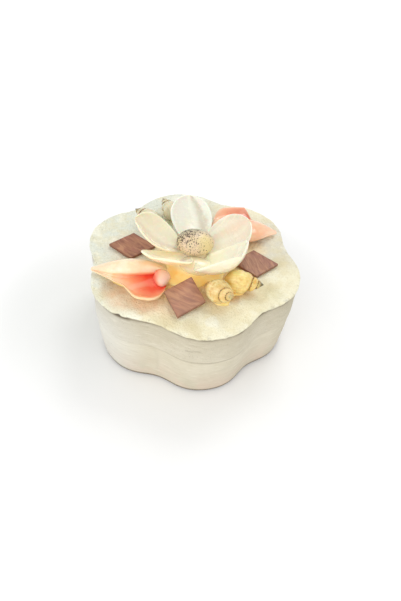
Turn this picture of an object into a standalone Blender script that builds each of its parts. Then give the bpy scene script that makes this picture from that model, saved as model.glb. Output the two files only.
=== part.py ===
"""Six-lobed keepsake box with a lift-off lid that carries a flower of shells.

Metres, +Z up. The origin is the middle of the underside, on the table, and one lobe faces -Y.
"""
import math
from typing import NamedTuple

import bmesh
import bpy
from mathutils import Matrix, Vector

# Outline of the lid, seen from above
LOBE_COUNT = 6
OUTLINE_RADIUS = 0.0500
LOBE_SWELL = 0.0027
LOBE_ROUNDING = 0.00044
OUTLINE_STEPS = 66

# Heights above the table
BOX_HEIGHT = 0.0432
SEAM_HEIGHT = 0.0250
NECK_RISE = 0.0120

# Walls, floor and the fit of the lid
LID_SHEET = 0.0024
LID_EDGE = 0.0012
LID_OVERHANG = 0.0005
SKIRT_WALL = 0.0018
SKIRT_CLEARANCE = 0.0004
NECK_WALL = 0.0018
FOOT_WALL = 0.0022
FLOOR_THICKNESS = 0.0028
SEAM_STEP = 0.0008
FOOT_INSET = 0.00255
FOOT_ROUND = 0.0016
EDGE_ROUND = 0.0004
CAVITY_FILLET = 0.0012

# Air left between pieces that touch
SEAT_GAP = 0.0003

# Shells and tiles on the lid
GLUE_RADIUS = 0.0150
GLUE_THICKNESS = 0.0016
PETAL_THICKNESS = 0.0010
PETAL_ROOT_RADIUS = 0.0030
CENTER_LENGTH = 0.0178
CENTER_WIDTH = 0.0150
CENTER_HEIGHT = 0.0109
CENTER_SHIFT = (0.0002, -0.0011)
TILE_LONG_DIAGONAL = 0.0222
TILE_SHORT_DIAGONAL = 0.0188
TILE_THICKNESS = 0.0014
TILE_BEVEL = 0.0002
CONCH_LENGTH = 0.0327
CONCH_HALF_WIDTH = 0.0050
CONCH_HEIGHT = 0.0074
CONCH_CANAL_REACH = 0.0085
CONCH_LIP_REACH = 0.0190
CONCH_LIP_LIFT = 0.0020
CONCH_LIP_THICKNESS = 0.0012
SNAIL_LENGTH = 0.0182
SNAIL_RADIUS = 0.0055
SNAIL_BODY_SHARE = 0.39
SNAIL_TURN_RATE = 1.5

# Levels and radii that follow from the sizes above
NECK_TOP = SEAM_HEIGHT + NECK_RISE
LID_BOTTOM = SEAM_HEIGHT + SEAT_GAP
LID_UNDERSIDE = BOX_HEIGHT - LID_SHEET
DECK = BOX_HEIGHT + SEAT_GAP
SKIRT_OUTER = OUTLINE_RADIUS - LID_OVERHANG
SKIRT_INNER = SKIRT_OUTER - SKIRT_WALL
SHOULDER_RADIUS = SKIRT_OUTER - SEAM_STEP
FOOT_RADIUS = OUTLINE_RADIUS - FOOT_INSET
NECK_OUTER = SKIRT_INNER - SKIRT_CLEARANCE
NECK_INNER = NECK_OUTER - NECK_WALL
CAVITY_FOOT = FOOT_RADIUS - FOOT_WALL
GLUE_TOP = DECK + GLUE_THICKNESS
PETAL_FLOOR = GLUE_TOP + SEAT_GAP + PETAL_THICKNESS


class Petal(NamedTuple):
    """One cupped half shell: where it points, how it rises, how wide it is, how far it leans out."""

    name: str
    bearing: float
    root_slope: float
    tip_slope: float
    length: float
    width: float
    cup: float
    roll: float
    root_shift: float = 0.0
    root_lift: float = 0.0
    far_side: float = 0.0
    near_cup: float = 0.0


class Snail(NamedTuple):
    """One snail shell: the middle of its body on the lid, and where its spire points."""

    name: str
    x: float
    y: float
    bearing: float
    pitch: float
    size: float


class Tile(NamedTuple):
    """One tile: distance and bearing from the middle, where its long corner points, its lean."""

    name: str
    distance: float
    bearing: float
    turn: float
    lean: float = 0.0


class Conch(NamedTuple):
    """One conch: its narrow end, where its body points, its lift, its lip's start, its breadth."""

    name: str
    x: float
    y: float
    bearing: float
    pitch: float
    size: float
    lip_full: float
    breadth: float


PETALS = (
    Petal("petal_back", 85, 8, 38, 0.0288, 0.0210, 0.0022, 10),
    Petal("petal_left", 169, 13, 58, 0.0280, 0.0180, 0.0042, -8, 0.0022, 0.0006),
    Petal("petal_front_left", 221, 8, 51, 0.0286, 0.0226, 0.0028, 12, 0.0020),
    Petal("petal_front_right", 296.9, -4.5, 78.2, 0.0320, 0.0266, 0.0047, 11, 0.0044, 0.0003, 0.12, 0.0038),
    Petal("petal_right", 6, 3, 56, 0.0279, 0.0222, 0.0021, 9),
)
TILES = (
    Tile("tile_left", 0.0298, 163, 170),
    Tile("tile_front", 0.0319, 252.4, 244.5, 10),
    Tile("tile_right", 0.0299, 339, 349),
    Tile("tile_back", 0.0330, 78.4, 55),
)
CONCHES = (
    Conch("conch_left", -0.0476, -0.0070, 347, 2.5, 1.0, 0.70, 1.0),
    Conch("conch_right", 0.0442, 0.0102, 172.5, 2.5, 0.92, 0.46, 1.5),
)
SNAILS = (
    Snail("snail_front_near", 0.0051, -0.0316, 292, 27, 0.97),
    Snail("snail_front_far", 0.0157, -0.0264, 343, -1, 0.98),
    Snail("snail_back_left", -0.0180, 0.0248, 137, 11, 0.85),
    Snail("snail_back_mid", -0.0063, 0.0300, 112, 13, 0.85),
)


def surface(name, color, roughness):
    """Plain Principled material with the piece's own color."""
    material = bpy.data.materials.new(name)
    material.use_nodes = True
    shader = material.node_tree.nodes["Principled BSDF"]
    shader.inputs["Base Color"].default_value = (*color, 1.0)
    shader.inputs["Roughness"].default_value = roughness
    material.diffuse_color = (*color, 1.0)
    return material


def new_object(name, mesh, material, collection):
    """Put a finished mesh in the collection under its own name."""
    mesh.materials.append(material)
    piece = bpy.data.objects.new(name, mesh)
    collection.objects.link(piece)
    return piece


def mesh_from(builder, name):
    """Turn an edit mesh into a mesh with smooth faces and true outward normals."""
    bmesh.ops.recalc_face_normals(builder, faces=builder.faces)
    mesh = bpy.data.meshes.new(name)
    builder.to_mesh(mesh)
    builder.free()
    mesh.shade_smooth()
    mesh.set_sharp_from_angle(angle=math.radians(40))
    return mesh


def lobe_factor(angle):
    """How far the lobed outline stands from its mean radius, as a ratio, at a bearing."""
    turn = LOBE_COUNT * (angle + math.pi / 2)
    swell = LOBE_SWELL * math.cos(turn) - LOBE_ROUNDING * math.cos(2 * turn)
    return 1 + swell / OUTLINE_RADIUS


def lobed_solid(name, profile, material, collection):
    """Turn a closed profile from axis to axis, then push it out into lobes."""
    builder = bmesh.new()
    points = [builder.verts.new((radius, 0, height)) for radius, height in profile]
    edges = [builder.edges.new(pair) for pair in zip(points, points[1:])]
    bmesh.ops.spin(builder, geom=points + edges, cent=(0, 0, 0), axis=(0, 0, 1),
                   angle=2 * math.pi, steps=OUTLINE_STEPS, use_duplicate=False)
    bmesh.ops.remove_doubles(builder, verts=builder.verts, dist=1e-6)
    for vert in builder.verts:
        factor = lobe_factor(math.atan2(vert.co.y, vert.co.x))
        vert.co.x *= factor
        vert.co.y *= factor
    return new_object(name, mesh_from(builder, name), material, collection)


def box_base(material, collection):
    """Base with a tapering wall, a shoulder for the lid and a neck inside the skirt."""
    belly_radius = (SHOULDER_RADIUS + FOOT_RADIUS) / 2 + SEAM_STEP / 4
    profile = [
        (0, 0),
        (FOOT_RADIUS - FOOT_ROUND, 0),
        (FOOT_RADIUS - FOOT_ROUND * 0.3, FOOT_ROUND * 0.3),
        (FOOT_RADIUS, FOOT_ROUND),
        (belly_radius, SEAM_HEIGHT * 0.45),
        (SHOULDER_RADIUS, SEAM_HEIGHT - EDGE_ROUND),
        (SHOULDER_RADIUS - EDGE_ROUND, SEAM_HEIGHT),
        (NECK_OUTER, SEAM_HEIGHT),
        (NECK_OUTER, NECK_TOP - EDGE_ROUND),
        (NECK_OUTER - EDGE_ROUND, NECK_TOP),
        (NECK_INNER, NECK_TOP),
        (NECK_INNER, SEAM_HEIGHT),
        (CAVITY_FOOT, FLOOR_THICKNESS + CAVITY_FILLET),
        (CAVITY_FOOT - CAVITY_FILLET, FLOOR_THICKNESS),
        (0, FLOOR_THICKNESS),
    ]
    return lobed_solid("box_base", profile, material, collection)


def lid(material, collection):
    """Top sheet with a small overhang above a skirt that sits on the base's shoulder."""
    profile = [
        (0, BOX_HEIGHT),
        (OUTLINE_RADIUS - EDGE_ROUND, BOX_HEIGHT),
        (OUTLINE_RADIUS, BOX_HEIGHT - EDGE_ROUND),
        (OUTLINE_RADIUS, BOX_HEIGHT - LID_EDGE),
        (SKIRT_OUTER, BOX_HEIGHT - LID_EDGE - LID_OVERHANG),
        (SKIRT_OUTER, LID_BOTTOM + EDGE_ROUND),
        (SKIRT_OUTER - EDGE_ROUND, LID_BOTTOM),
        (SKIRT_INNER, LID_BOTTOM),
        (SKIRT_INNER, LID_UNDERSIDE),
        (0, LID_UNDERSIDE),
    ]
    return lobed_solid("lid", profile, material, collection)


def glue_height(radius):
    """Top of the glue bed at a distance from the middle."""
    share = min(radius / GLUE_RADIUS, 1.0)
    return GLUE_TOP - 0.75 * GLUE_THICKNESS * share ** 2


def glue_bed(material, collection):
    """Low mound of glue, a turned cap with a slightly wavy rim."""
    steps = 24
    rings = 4
    builder = bmesh.new()
    radii = [GLUE_RADIUS * ring / rings for ring in range(rings + 1)]
    profile = [(radius, glue_height(radius)) for radius in radii] + [(GLUE_RADIUS, DECK), (0, DECK)]
    points = [builder.verts.new((radius, 0, height)) for radius, height in profile]
    edges = [builder.edges.new(pair) for pair in zip(points, points[1:])]
    bmesh.ops.spin(builder, geom=points + edges, cent=(0, 0, 0), axis=(0, 0, 1),
                   angle=2 * math.pi, steps=steps, use_duplicate=False)
    bmesh.ops.remove_doubles(builder, verts=builder.verts, dist=1e-6)
    for vert in builder.verts:
        angle = math.atan2(vert.co.y, vert.co.x)
        wave = 1 + 0.05 * math.sin(3 * angle + 0.6) + 0.03 * math.sin(5 * angle)
        vert.co.x *= wave
        vert.co.y *= wave
    return new_object("glue_bed", mesh_from(builder, "glue_bed"), material, collection)


def petal_point(petal, along, across):
    """Point of a petal's inner face: along runs from root to tip, across from -1 to 1."""
    slope_start, slope_end = math.radians(petal.root_slope), math.radians(petal.tip_slope)
    steps = 24
    reach = PETAL_ROOT_RADIUS + petal.root_shift
    rise = PETAL_FLOOR + petal.root_lift
    for step in range(steps):
        slope = slope_start + (slope_end - slope_start) * along * (step + 0.5) / steps
        reach += petal.length * along / steps * math.cos(slope)
        rise += petal.length * along / steps * math.sin(slope)
    slope = slope_start + (slope_end - slope_start) * along
    half_width = petal_outline(along)
    bearing, roll = math.radians(petal.bearing), math.radians(petal.roll)
    outward = Vector((math.cos(bearing), math.sin(bearing), 0))
    sideways = Vector((-math.sin(bearing), math.cos(bearing), 0))
    upright = Vector((0, 0, math.cos(slope))) - outward * math.sin(slope)
    side = sideways * math.cos(roll) + upright * math.sin(roll)
    lift = upright * math.cos(roll) - sideways * math.sin(roll)
    middle = outward * reach + Vector((0, 0, rise))
    cup = petal.cup + (petal.near_cup if across < 0 else 0)
    across *= 1 + petal.far_side if across > 0 else 1
    return (middle + side * (petal.width / 2 * half_width * across)
            + lift * (cup * half_width * across ** 2))


def petal_outline(along):
    """Half width of a petal as a ratio of its widest, narrow at the root, round at the tip."""
    root_share, root_power, tip_power = 0.03, 0.75, 0.5
    share = root_share + (1 - root_share) * along
    widest = root_power / (root_power + tip_power)
    peak = widest ** root_power * (1 - widest) ** tip_power
    return share ** root_power * (1 - share) ** tip_power / peak


def petal(shape, material, collection):
    """Cupped sheet with a Solidify wall that grows away from the hollow side."""
    rows, columns = 9, 8
    builder = bmesh.new()
    grid = []
    for row in range(rows):
        along = math.sin(math.pi / 2 * row / rows)
        grid.append([builder.verts.new(petal_point(shape, along, 2 * column / columns - 1))
                     for column in range(columns + 1)])
    tip = builder.verts.new(petal_point(shape, 1.0, 0.0))
    for lower, upper in zip(grid, grid[1:]):
        for column in range(columns):
            builder.faces.new((lower[column], lower[column + 1], upper[column + 1], upper[column]))
    for column in range(columns):
        builder.faces.new((grid[-1][column], grid[-1][column + 1], tip))
    mesh = bpy.data.meshes.new(shape.name)
    builder.to_mesh(mesh)
    builder.free()
    mesh.shade_smooth()
    piece = new_object(shape.name, mesh, material, collection)
    wall = piece.modifiers.new("wall", "SOLIDIFY")
    wall.thickness = PETAL_THICKNESS
    wall.offset = 1.0
    return piece


def center_shell(material, collection):
    """Egg-shaped domed shell that narrows to a small flat on the roots of the petals."""
    rest_height = PETAL_FLOOR + SEAT_GAP
    flat_share = 0.86
    narrowing = 0.6
    builder = bmesh.new()
    bmesh.ops.create_uvsphere(builder, u_segments=20, v_segments=12, radius=0.5)
    middle = rest_height + CENTER_HEIGHT * flat_share / (1 + flat_share)
    for vert in builder.verts:
        level = max(vert.co.z * 2, -flat_share)
        waist = 1 - narrowing * max(0.0, -level) ** 3
        taper = 1 - 0.12 * vert.co.x
        vert.co.y *= CENTER_WIDTH * taper * waist
        vert.co.x *= CENTER_LENGTH * waist
        vert.co.z = middle + level * CENTER_HEIGHT / (1 + flat_share)
    place = Matrix.Translation((*CENTER_SHIFT, 0)) @ Matrix.Rotation(math.radians(-12), 4, "Z")
    bmesh.ops.transform(builder, matrix=place, verts=builder.verts)
    return new_object("center_shell", mesh_from(builder, "center_shell"), material, collection)


def tile(shape, material, collection):
    """Diamond tile with eased edges, lying on the lid with a long corner towards the flower."""
    builder = bmesh.new()
    bmesh.ops.create_cube(builder, size=1.0)
    diamond = Matrix.Rotation(math.pi / 4, 3, "Z")
    bmesh.ops.rotate(builder, verts=builder.verts, cent=(0, 0, 0), matrix=diamond)
    size = (TILE_LONG_DIAGONAL / math.sqrt(2), TILE_SHORT_DIAGONAL / math.sqrt(2), TILE_THICKNESS)
    bmesh.ops.scale(builder, verts=builder.verts, vec=size)
    bmesh.ops.bevel(builder, geom=builder.edges[:], offset=TILE_BEVEL, segments=1, affect="EDGES")
    bearing, turn, lean = (math.radians(angle) for angle in (shape.bearing, shape.turn, shape.lean))
    rise = (TILE_LONG_DIAGONAL * math.sin(lean) + TILE_THICKNESS * math.cos(lean)) / 2
    middle = (shape.distance * math.cos(bearing), shape.distance * math.sin(bearing), DECK + rise)
    place = (Matrix.Translation(middle) @ Matrix.Rotation(turn, 4, "Z")
             @ Matrix.Rotation(lean, 4, "Y"))
    bmesh.ops.transform(builder, matrix=place, verts=builder.verts)
    return new_object(shape.name, mesh_from(builder, shape.name), material, collection)


def snail_radius(along, angle):
    """Radius of a snail shell as a ratio of its body: full body, stepped spire, spiral groove."""
    last_whorl, groove = 0.985, 0.16
    if along < SNAIL_BODY_SHARE:
        envelope = math.sqrt(max(0.0, 1 - (1 - along / SNAIL_BODY_SHARE) ** 2))
    else:
        envelope = 1 - ((along - SNAIL_BODY_SHARE) / (1 - SNAIL_BODY_SHARE)) ** 1.7
    turn = SNAIL_TURN_RATE * math.log(1 / (1 - last_whorl * along)) + angle / (2 * math.pi)
    phase = turn - math.floor(turn)
    dip = 1 - groove * (1 - math.sin(math.pi * phase) ** 0.6) * min(1.0, along / SNAIL_BODY_SHARE) ** 2
    return envelope * dip


def snail(shape, material, collection):
    """Closed spired shell made of rings, laid on the lid with its spire at a bearing."""
    rings, segments = 20, 16
    length = SNAIL_LENGTH * shape.size
    radius = SNAIL_RADIUS * shape.size
    builder = bmesh.new()
    rows = []
    for ring in range(1, rings):
        along = 0.5 - 0.5 * math.cos(math.pi * ring / rings)
        row = []
        for segment in range(segments):
            angle = 2 * math.pi * segment / segments
            reach = radius * snail_radius(along, angle)
            point = (length * (along - SNAIL_BODY_SHARE), reach * math.cos(angle), reach * math.sin(angle))
            row.append(builder.verts.new(point))
        rows.append(row)
    foot = builder.verts.new((-SNAIL_BODY_SHARE * length, 0, 0))
    apex = builder.verts.new(((1 - SNAIL_BODY_SHARE) * length, 0, 0))
    for row, following in zip(rows, rows[1:]):
        for segment in range(segments):
            after = (segment + 1) % segments
            builder.faces.new((row[segment], row[after], following[after], following[segment]))
    for segment in range(segments):
        after = (segment + 1) % segments
        builder.faces.new((foot, rows[0][after], rows[0][segment]))
        builder.faces.new((apex, rows[-1][segment], rows[-1][after]))
    place = (Matrix.Rotation(math.radians(shape.bearing), 4, "Z")
             @ Matrix.Rotation(math.radians(-shape.pitch), 4, "Y"))
    bmesh.ops.transform(builder, matrix=place, verts=builder.verts)
    lowest = min(vert.co.z for vert in builder.verts)
    seat = Matrix.Translation((shape.x, shape.y, DECK - lowest))
    bmesh.ops.transform(builder, matrix=seat, verts=builder.verts)
    return new_object(shape.name, mesh_from(builder, shape.name), material, collection)


def conch_swell(along, widest, start, end):
    """Growth of a conch from its narrow canal end to its widest place and back in."""
    if along < widest:
        return start + (1 - start) * math.sin(math.pi / 2 * along / widest)
    share = (along - widest) / (1 - widest)
    return math.sqrt(1 - (1 - end ** 2) * share ** 2.2)


def conch_flare(along, lip_full):
    """How far the lip has flared: nothing along the canal, a quick rise, a rounded far end."""
    rise_start, fall_start, end = 0.36, 0.80, 0.30
    if along <= rise_start:
        return 0.0
    if along < lip_full:
        share = (along - rise_start) / (lip_full - rise_start)
        return share * share * (3 - 2 * share)
    share = max(0.0, (along - fall_start) / (1 - fall_start))
    return math.sqrt(1 - (1 - end ** 2) * share ** 2)


def conch_section(along, lip_full, breadth):
    """Outline of a conch across its axis: a rolled body and a lip that flares to one side."""
    size = conch_swell(along, 0.60, 0.20, 0.60)
    flare = conch_flare(along, lip_full)
    side, top = CONCH_HALF_WIDTH * size * breadth, CONCH_HEIGHT * size
    canal = CONCH_CANAL_REACH * min(1.0, 0.15 + along / 0.42) * (0.6 + 0.4 * breadth)
    reach = canal + (CONCH_LIP_REACH / breadth ** 0.4 - CONCH_CANAL_REACH) * flare
    wall = CONCH_LIP_THICKNESS * (0.5 + 0.5 * flare)
    edge = 0.25 * top + CONCH_LIP_LIFT * flare
    bowl = 0.14 * top + wall
    floor_start = 0.66 * side
    return [
        (0, 0), (-0.75 * side, 0.14 * top), (-side, 0.5 * top), (-0.72 * side, 0.85 * top), (0, top),
        (0.40 * side, 0.88 * top), (0.56 * side, 0.66 * top), (0.50 * side, 0.44 * top),
        (floor_start, bowl), (floor_start + 0.35 * (reach - floor_start), bowl + 0.05 * edge),
        (floor_start + 0.72 * (reach - floor_start), wall + 0.45 * edge), (reach, edge + wall),
        (reach + 0.3 * wall, edge + 0.5 * wall), (reach, edge),
        (floor_start + 0.62 * (reach - floor_start), 0.18 * edge), (0.5 * side, 0),
    ]


def conch(shape, material, collection):
    """Loft of sections from the pointed canal end to the spire end, lying on the lid."""
    rows = 15
    builder = bmesh.new()
    sections = []
    for row in range(rows):
        along = row / (rows - 1)
        sections.append([builder.verts.new((CONCH_LENGTH * along, -side, height))
                         for side, height in conch_section(along, shape.lip_full, shape.breadth)])
    bmesh.ops.scale(builder, verts=builder.verts, vec=[shape.size] * 3)
    count = len(sections[0])
    for lower, upper in zip(sections, sections[1:]):
        for index in range(count):
            after = (index + 1) % count
            builder.faces.new((lower[index], lower[after], upper[after], upper[index]))
    for cap in (sections[0], sections[-1]):
        builder.faces.new(cap)
    place = (Matrix.Rotation(math.radians(shape.bearing), 4, "Z")
             @ Matrix.Rotation(math.radians(shape.pitch), 4, "Y"))
    bmesh.ops.transform(builder, matrix=place, verts=builder.verts)
    lowest = min(vert.co.z for vert in builder.verts)
    seat = Matrix.Translation((shape.x, shape.y, DECK - lowest))
    bmesh.ops.transform(builder, matrix=seat, verts=builder.verts)
    return new_object(shape.name, mesh_from(builder, shape.name), material, collection)


def clear_scene():
    """Remove every object so that the model starts from nothing."""
    for item in list(bpy.data.objects):
        bpy.data.objects.remove(item, do_unlink=True)


def main():
    """Build every piece of the box in one collection."""
    clear_scene()
    collection = bpy.data.collections.new("shell_box")
    bpy.context.scene.collection.children.link(collection)
    plaster = surface("plaster", (0.86, 0.82, 0.73), 0.85)
    glue = surface("glue", (0.80, 0.48, 0.12), 0.30)
    pearl = surface("pearl", (0.88, 0.85, 0.76), 0.22)
    speckle = surface("speckle", (0.66, 0.53, 0.42), 0.30)
    nacre = surface("nacre", (0.36, 0.18, 0.15), 0.35)
    coral = surface("coral", (0.92, 0.46, 0.34), 0.30)
    horn = surface("horn", (0.80, 0.58, 0.28), 0.35)
    box_base(plaster, collection)
    lid(plaster, collection)
    glue_bed(glue, collection)
    for shape in PETALS:
        petal(shape, pearl, collection)
    center_shell(speckle, collection)
    for shape in TILES:
        tile(shape, nacre, collection)
    for shape in SNAILS:
        snail(shape, horn, collection)
    for shape in CONCHES:
        conch(shape, coral, collection)


main()
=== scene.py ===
"""Looks of the shell box: a lobed plaster box whose lid carries a flower of pearly half shells.

Sizes are in metres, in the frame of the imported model: +Z up, the front lobe towards -Y.
"""

import logging
from dataclasses import dataclass
from enum import Enum
from math import ceil, cos, pi, radians, sin, sqrt
from typing import Any, Sequence

import bmesh
import bpy
import numpy as np
from mathutils import Matrix, Vector, noise


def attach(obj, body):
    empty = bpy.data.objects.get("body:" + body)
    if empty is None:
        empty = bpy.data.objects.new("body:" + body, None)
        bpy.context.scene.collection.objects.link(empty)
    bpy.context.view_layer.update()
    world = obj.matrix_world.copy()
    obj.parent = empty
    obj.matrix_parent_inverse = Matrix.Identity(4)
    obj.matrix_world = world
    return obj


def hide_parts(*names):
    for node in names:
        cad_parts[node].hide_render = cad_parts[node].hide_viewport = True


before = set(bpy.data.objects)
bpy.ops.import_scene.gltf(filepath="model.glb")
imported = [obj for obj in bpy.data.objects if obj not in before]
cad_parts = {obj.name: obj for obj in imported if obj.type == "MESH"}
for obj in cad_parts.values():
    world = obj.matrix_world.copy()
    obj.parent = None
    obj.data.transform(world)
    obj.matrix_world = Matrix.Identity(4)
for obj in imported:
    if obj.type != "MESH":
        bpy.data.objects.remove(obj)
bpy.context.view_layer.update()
LOG = logging.getLogger("shell_box")

MM = 0.001
BOX_HEIGHT = 0.0432
DECK = 0.0435
SEAM_HEIGHT = 0.0250
OUTLINE_RADIUS = 0.0500
LOBE_COUNT = 6
LOBE_SWELL = 0.0027
LOBE_ROUNDING = 0.00044
PETAL_FLOOR = 0.0464
WELD = 1e-6
WALL_ARC = pi / 180 * 49.0  # millimetres of wall for one degree of bearing

Color = tuple[float, float, float]
Stops = Sequence[tuple[float, Color]]
Profile = list[tuple[float, float]]
Faces = list[tuple[int, ...]]
Socket = bpy.types.NodeSocket
Node = bpy.types.Node
Material = bpy.types.Material
Mesh = bpy.types.Mesh
Piece = bpy.types.Object


def tone(red: float, green: float, blue: float) -> Color:
    """Linear color of a paint tone.

    Args:
        red, green, blue: Display values from 0 to 255.

    Returns:
        The color as shaders take it.
    """
    def linear(value: float) -> float:
        share = value / 255
        return share / 12.92 if share <= 0.04045 else ((share + 0.055) / 1.055) ** 2.4
    return linear(red), linear(green), linear(blue)


def rise(values: np.ndarray, low: float, high: float) -> np.ndarray:
    """Smooth step from 0 at low to 1 at high."""
    share = np.clip((values - low) / (high - low), 0.0, 1.0)
    return share * share * (3 - 2 * share)


def grain(points: np.ndarray, size: float, seed: float, octaves: int = 3) -> np.ndarray:
    """Smooth uneven relief.

    Args:
        points: Places in metres, one row each.
        size: Width of the largest bumps in metres.
        seed: Shift of the pattern.
        octaves: How many finer layers it has.

    Returns:
        One value for each place, mostly from -1 to 1.
    """
    shift = Vector((seed, 0.37 * seed, -0.61 * seed))
    return np.array([noise.fractal(Vector(point) / size + shift, 1.0, 2.0, octaves) for point in points])


def lobe_factor(angle: np.ndarray) -> np.ndarray:
    """How far the lobed outline stands from its mean radius at a bearing, as a ratio."""
    turn = LOBE_COUNT * (angle + pi / 2)
    return 1 + (LOBE_SWELL * np.cos(turn) - LOBE_ROUNDING * np.cos(2 * turn)) / OUTLINE_RADIUS


# ---------- benches

class NodeBench:
    """Workbench on which the nodes of one tree are laid out."""

    def __init__(self, tree: bpy.types.NodeTree) -> None:
        """Start work on a tree."""
        self.tree = tree

    def node(self, kind: str, settings: dict[str, Any] | None = None, **feeds: Any) -> Node:
        """Add a node.

        Args:
            kind: Type name of the node.
            settings: Its properties by name.
            **feeds: What its sockets get, by name with underscores for blanks.

        Returns:
            The node.
        """
        made = self.tree.nodes.new(kind)
        for key, value in (settings or {}).items():
            setattr(made, key, value)
        for key, value in feeds.items():
            self.feed(made.inputs[key.replace("_", " ")], value)
        return made

    def feed(self, socket: Socket, value: Any) -> None:
        """Link a socket to another, or give it a plain value.

        Args:
            socket: Input of a node.
            value: Output of a node, or a plain value; a color comes without its alpha.
        """
        if isinstance(value, Socket):
            self.tree.links.new(value, socket)
        elif isinstance(value, tuple) and len(value) == 3 and socket.type == "RGBA":
            socket.default_value = (*value, 1.0)
        else:
            socket.default_value = value

    def sum(self, kind: str, first: Any, second: Any = 0.0) -> Socket:
        """Arithmetic on one or two values.

        Args:
            kind: Name of the operation.
            first: First value.
            second: Second value, if the operation has one.

        Returns:
            The result's socket.
        """
        made = self.node("ShaderNodeMath", {"operation": kind})
        self.feed(made.inputs[0], first)
        self.feed(made.inputs[1], second)
        return made.outputs[0]

    def times(self, first: Any, second: Any) -> Socket:
        """Product of two values."""
        return self.sum("MULTIPLY", first, second)


class Bench(NodeBench):
    """Workbench for the nodes of one finish."""

    def __init__(self, name: str) -> None:
        """Start a new material with its shader."""
        self.material = bpy.data.materials.new(name)
        self.material.use_nodes = True
        super().__init__(self.material.node_tree)
        self.shader = self.tree.nodes["Principled BSDF"]

    def place(self, stretch: Sequence[float] = (1, 1, 1), turn: Sequence[float] = (0, 0, 0),
              shift: Sequence[float] = (0, 0, 0)) -> Socket:
        """Object coordinates counted in millimetres.

        Args:
            stretch: Scale along each axis.
            turn: Angles in degrees about the axes.
            shift: Move in millimetres, after the turn.

        Returns:
            The vector socket of the pattern's place.
        """
        source = self.node("ShaderNodeTexCoord").outputs["Object"]
        return self.node("ShaderNodeMapping", Vector=source, Location=tuple(shift),
                         Rotation=tuple(radians(angle) for angle in turn),
                         Scale=tuple(value / MM for value in stretch)).outputs["Vector"]

    def drawn_out(self, place: Socket, amounts: Sequence[float]) -> Socket:
        """A pattern's place, scaled along its own axes after its turn.

        Args:
            place: Where the pattern is looked up.
            amounts: Scale along each axis.

        Returns:
            The vector socket of the new place.
        """
        made = self.node("ShaderNodeVectorMath", {"operation": "MULTIPLY"})
        self.feed(made.inputs[0], place)
        self.feed(made.inputs[1], tuple(amounts))
        return made.outputs[0]

    def mottle(self, place: Socket, scale: float, detail: float = 4.0, rough: float = 0.55,
               twist: float = 0.0) -> Socket:
        """Cloudy noise from 0 to 1 around one half.

        Args:
            place: Where the pattern is looked up.
            scale: Clouds for each millimetre.
            detail: How many finer layers it has.
            rough: Strength of the finer layers.
            twist: How far the clouds are drawn out of shape.

        Returns:
            The value socket.
        """
        return self.node("ShaderNodeTexNoise", Vector=place, Scale=scale, Detail=detail, Roughness=rough,
                         Distortion=twist).outputs[0]

    def cells(self, place: Socket, scale: float) -> Socket:
        """Distance from the middle of scattered cells; scale counts cells per millimetre."""
        made = self.node("ShaderNodeTexVoronoi", {"feature": "F1"}, Vector=place, Scale=scale)
        return made.outputs["Distance"]

    def bands(self, place: Socket, scale: float, twist: float, detail: float = 2.0) -> Socket:
        """Wavy bands across the X axis.

        Args:
            place: Where the pattern is looked up.
            scale: How close the bands stand.
            twist: How far they waver.
            detail: How many finer layers the wavering has.

        Returns:
            The value socket, from 0 to 1.
        """
        made = self.node("ShaderNodeTexWave", {"wave_type": "BANDS", "bands_direction": "X"}, Vector=place,
                         Scale=scale, Distortion=twist, Detail=detail, Detail_Scale=1.2)
        return made.outputs["Fac"]

    def trait(self, name: str) -> Socket:
        """Value that the mesh carries at each point under a name."""
        return self.node("ShaderNodeAttribute", {"attribute_name": name}).outputs["Fac"]

    def axes(self, place: Socket) -> Node:
        """Node whose outputs X, Y and Z are the parts of a place."""
        return self.node("ShaderNodeSeparateXYZ", Vector=place)

    def spread(self, value: Socket, low: float, high: float, start: float = 0.0,
               end: float = 1.0) -> Socket:
        """Smooth step of a value.

        Args:
            value: The value that is read.
            low: Where the step begins.
            high: Where it ends; it may be below low.
            start: Result at low.
            end: Result at high.

        Returns:
            The value socket.
        """
        made = self.node("ShaderNodeMapRange", {"interpolation_type": "SMOOTHSTEP"})
        for key, number in zip(range(5), (value, low, high, start, end)):
            self.feed(made.inputs[key], number)
        return made.outputs[0]

    def near(self, spot: tuple[float, float], inner: float, outer: float) -> Socket:
        """Mask of a patch that is round seen from above.

        Args:
            spot: Middle of the patch in millimetres.
            inner: Radius of its full part.
            outer: Radius where it has faded out.

        Returns:
            The value socket, 1 inside and 0 outside.
        """
        made = self.node("ShaderNodeVectorMath", {"operation": "DISTANCE"})
        self.feed(made.inputs[0], self.place((1, 1, 0)))
        self.feed(made.inputs[1], (*spot, 0.0))
        return self.spread(made.outputs["Value"], inner, outer, 1.0, 0.0)

    def ramp(self, value: Socket, stops: Stops) -> Socket:
        """Color band over a value.

        Args:
            value: The value that is read.
            stops: Place and color of each stop, at least two, in order.

        Returns:
            The color socket.
        """
        made = self.node("ShaderNodeValToRGB")
        band = made.color_ramp.elements
        while len(band) < len(stops):
            band.new(0.5)
        for element, (spot, color) in zip(band, stops):
            element.position = spot
            element.color = (*color, 1.0)
        self.feed(made.inputs[0], value)
        return made.outputs[0]

    def blend(self, share: Any, first: Any, second: Any) -> Socket:
        """Mix two colors.

        Args:
            share: 0 shows the first color, 1 the second.
            first: First color, linked or plain.
            second: Second color, linked or plain.

        Returns:
            The color socket.
        """
        made = self.node("ShaderNodeMix", {"data_type": "RGBA", "blend_type": "MIX"})
        self.feed(made.inputs[0], share)
        self.feed(made.inputs[6], first)
        self.feed(made.inputs[7], second)
        return made.outputs[2]

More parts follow.
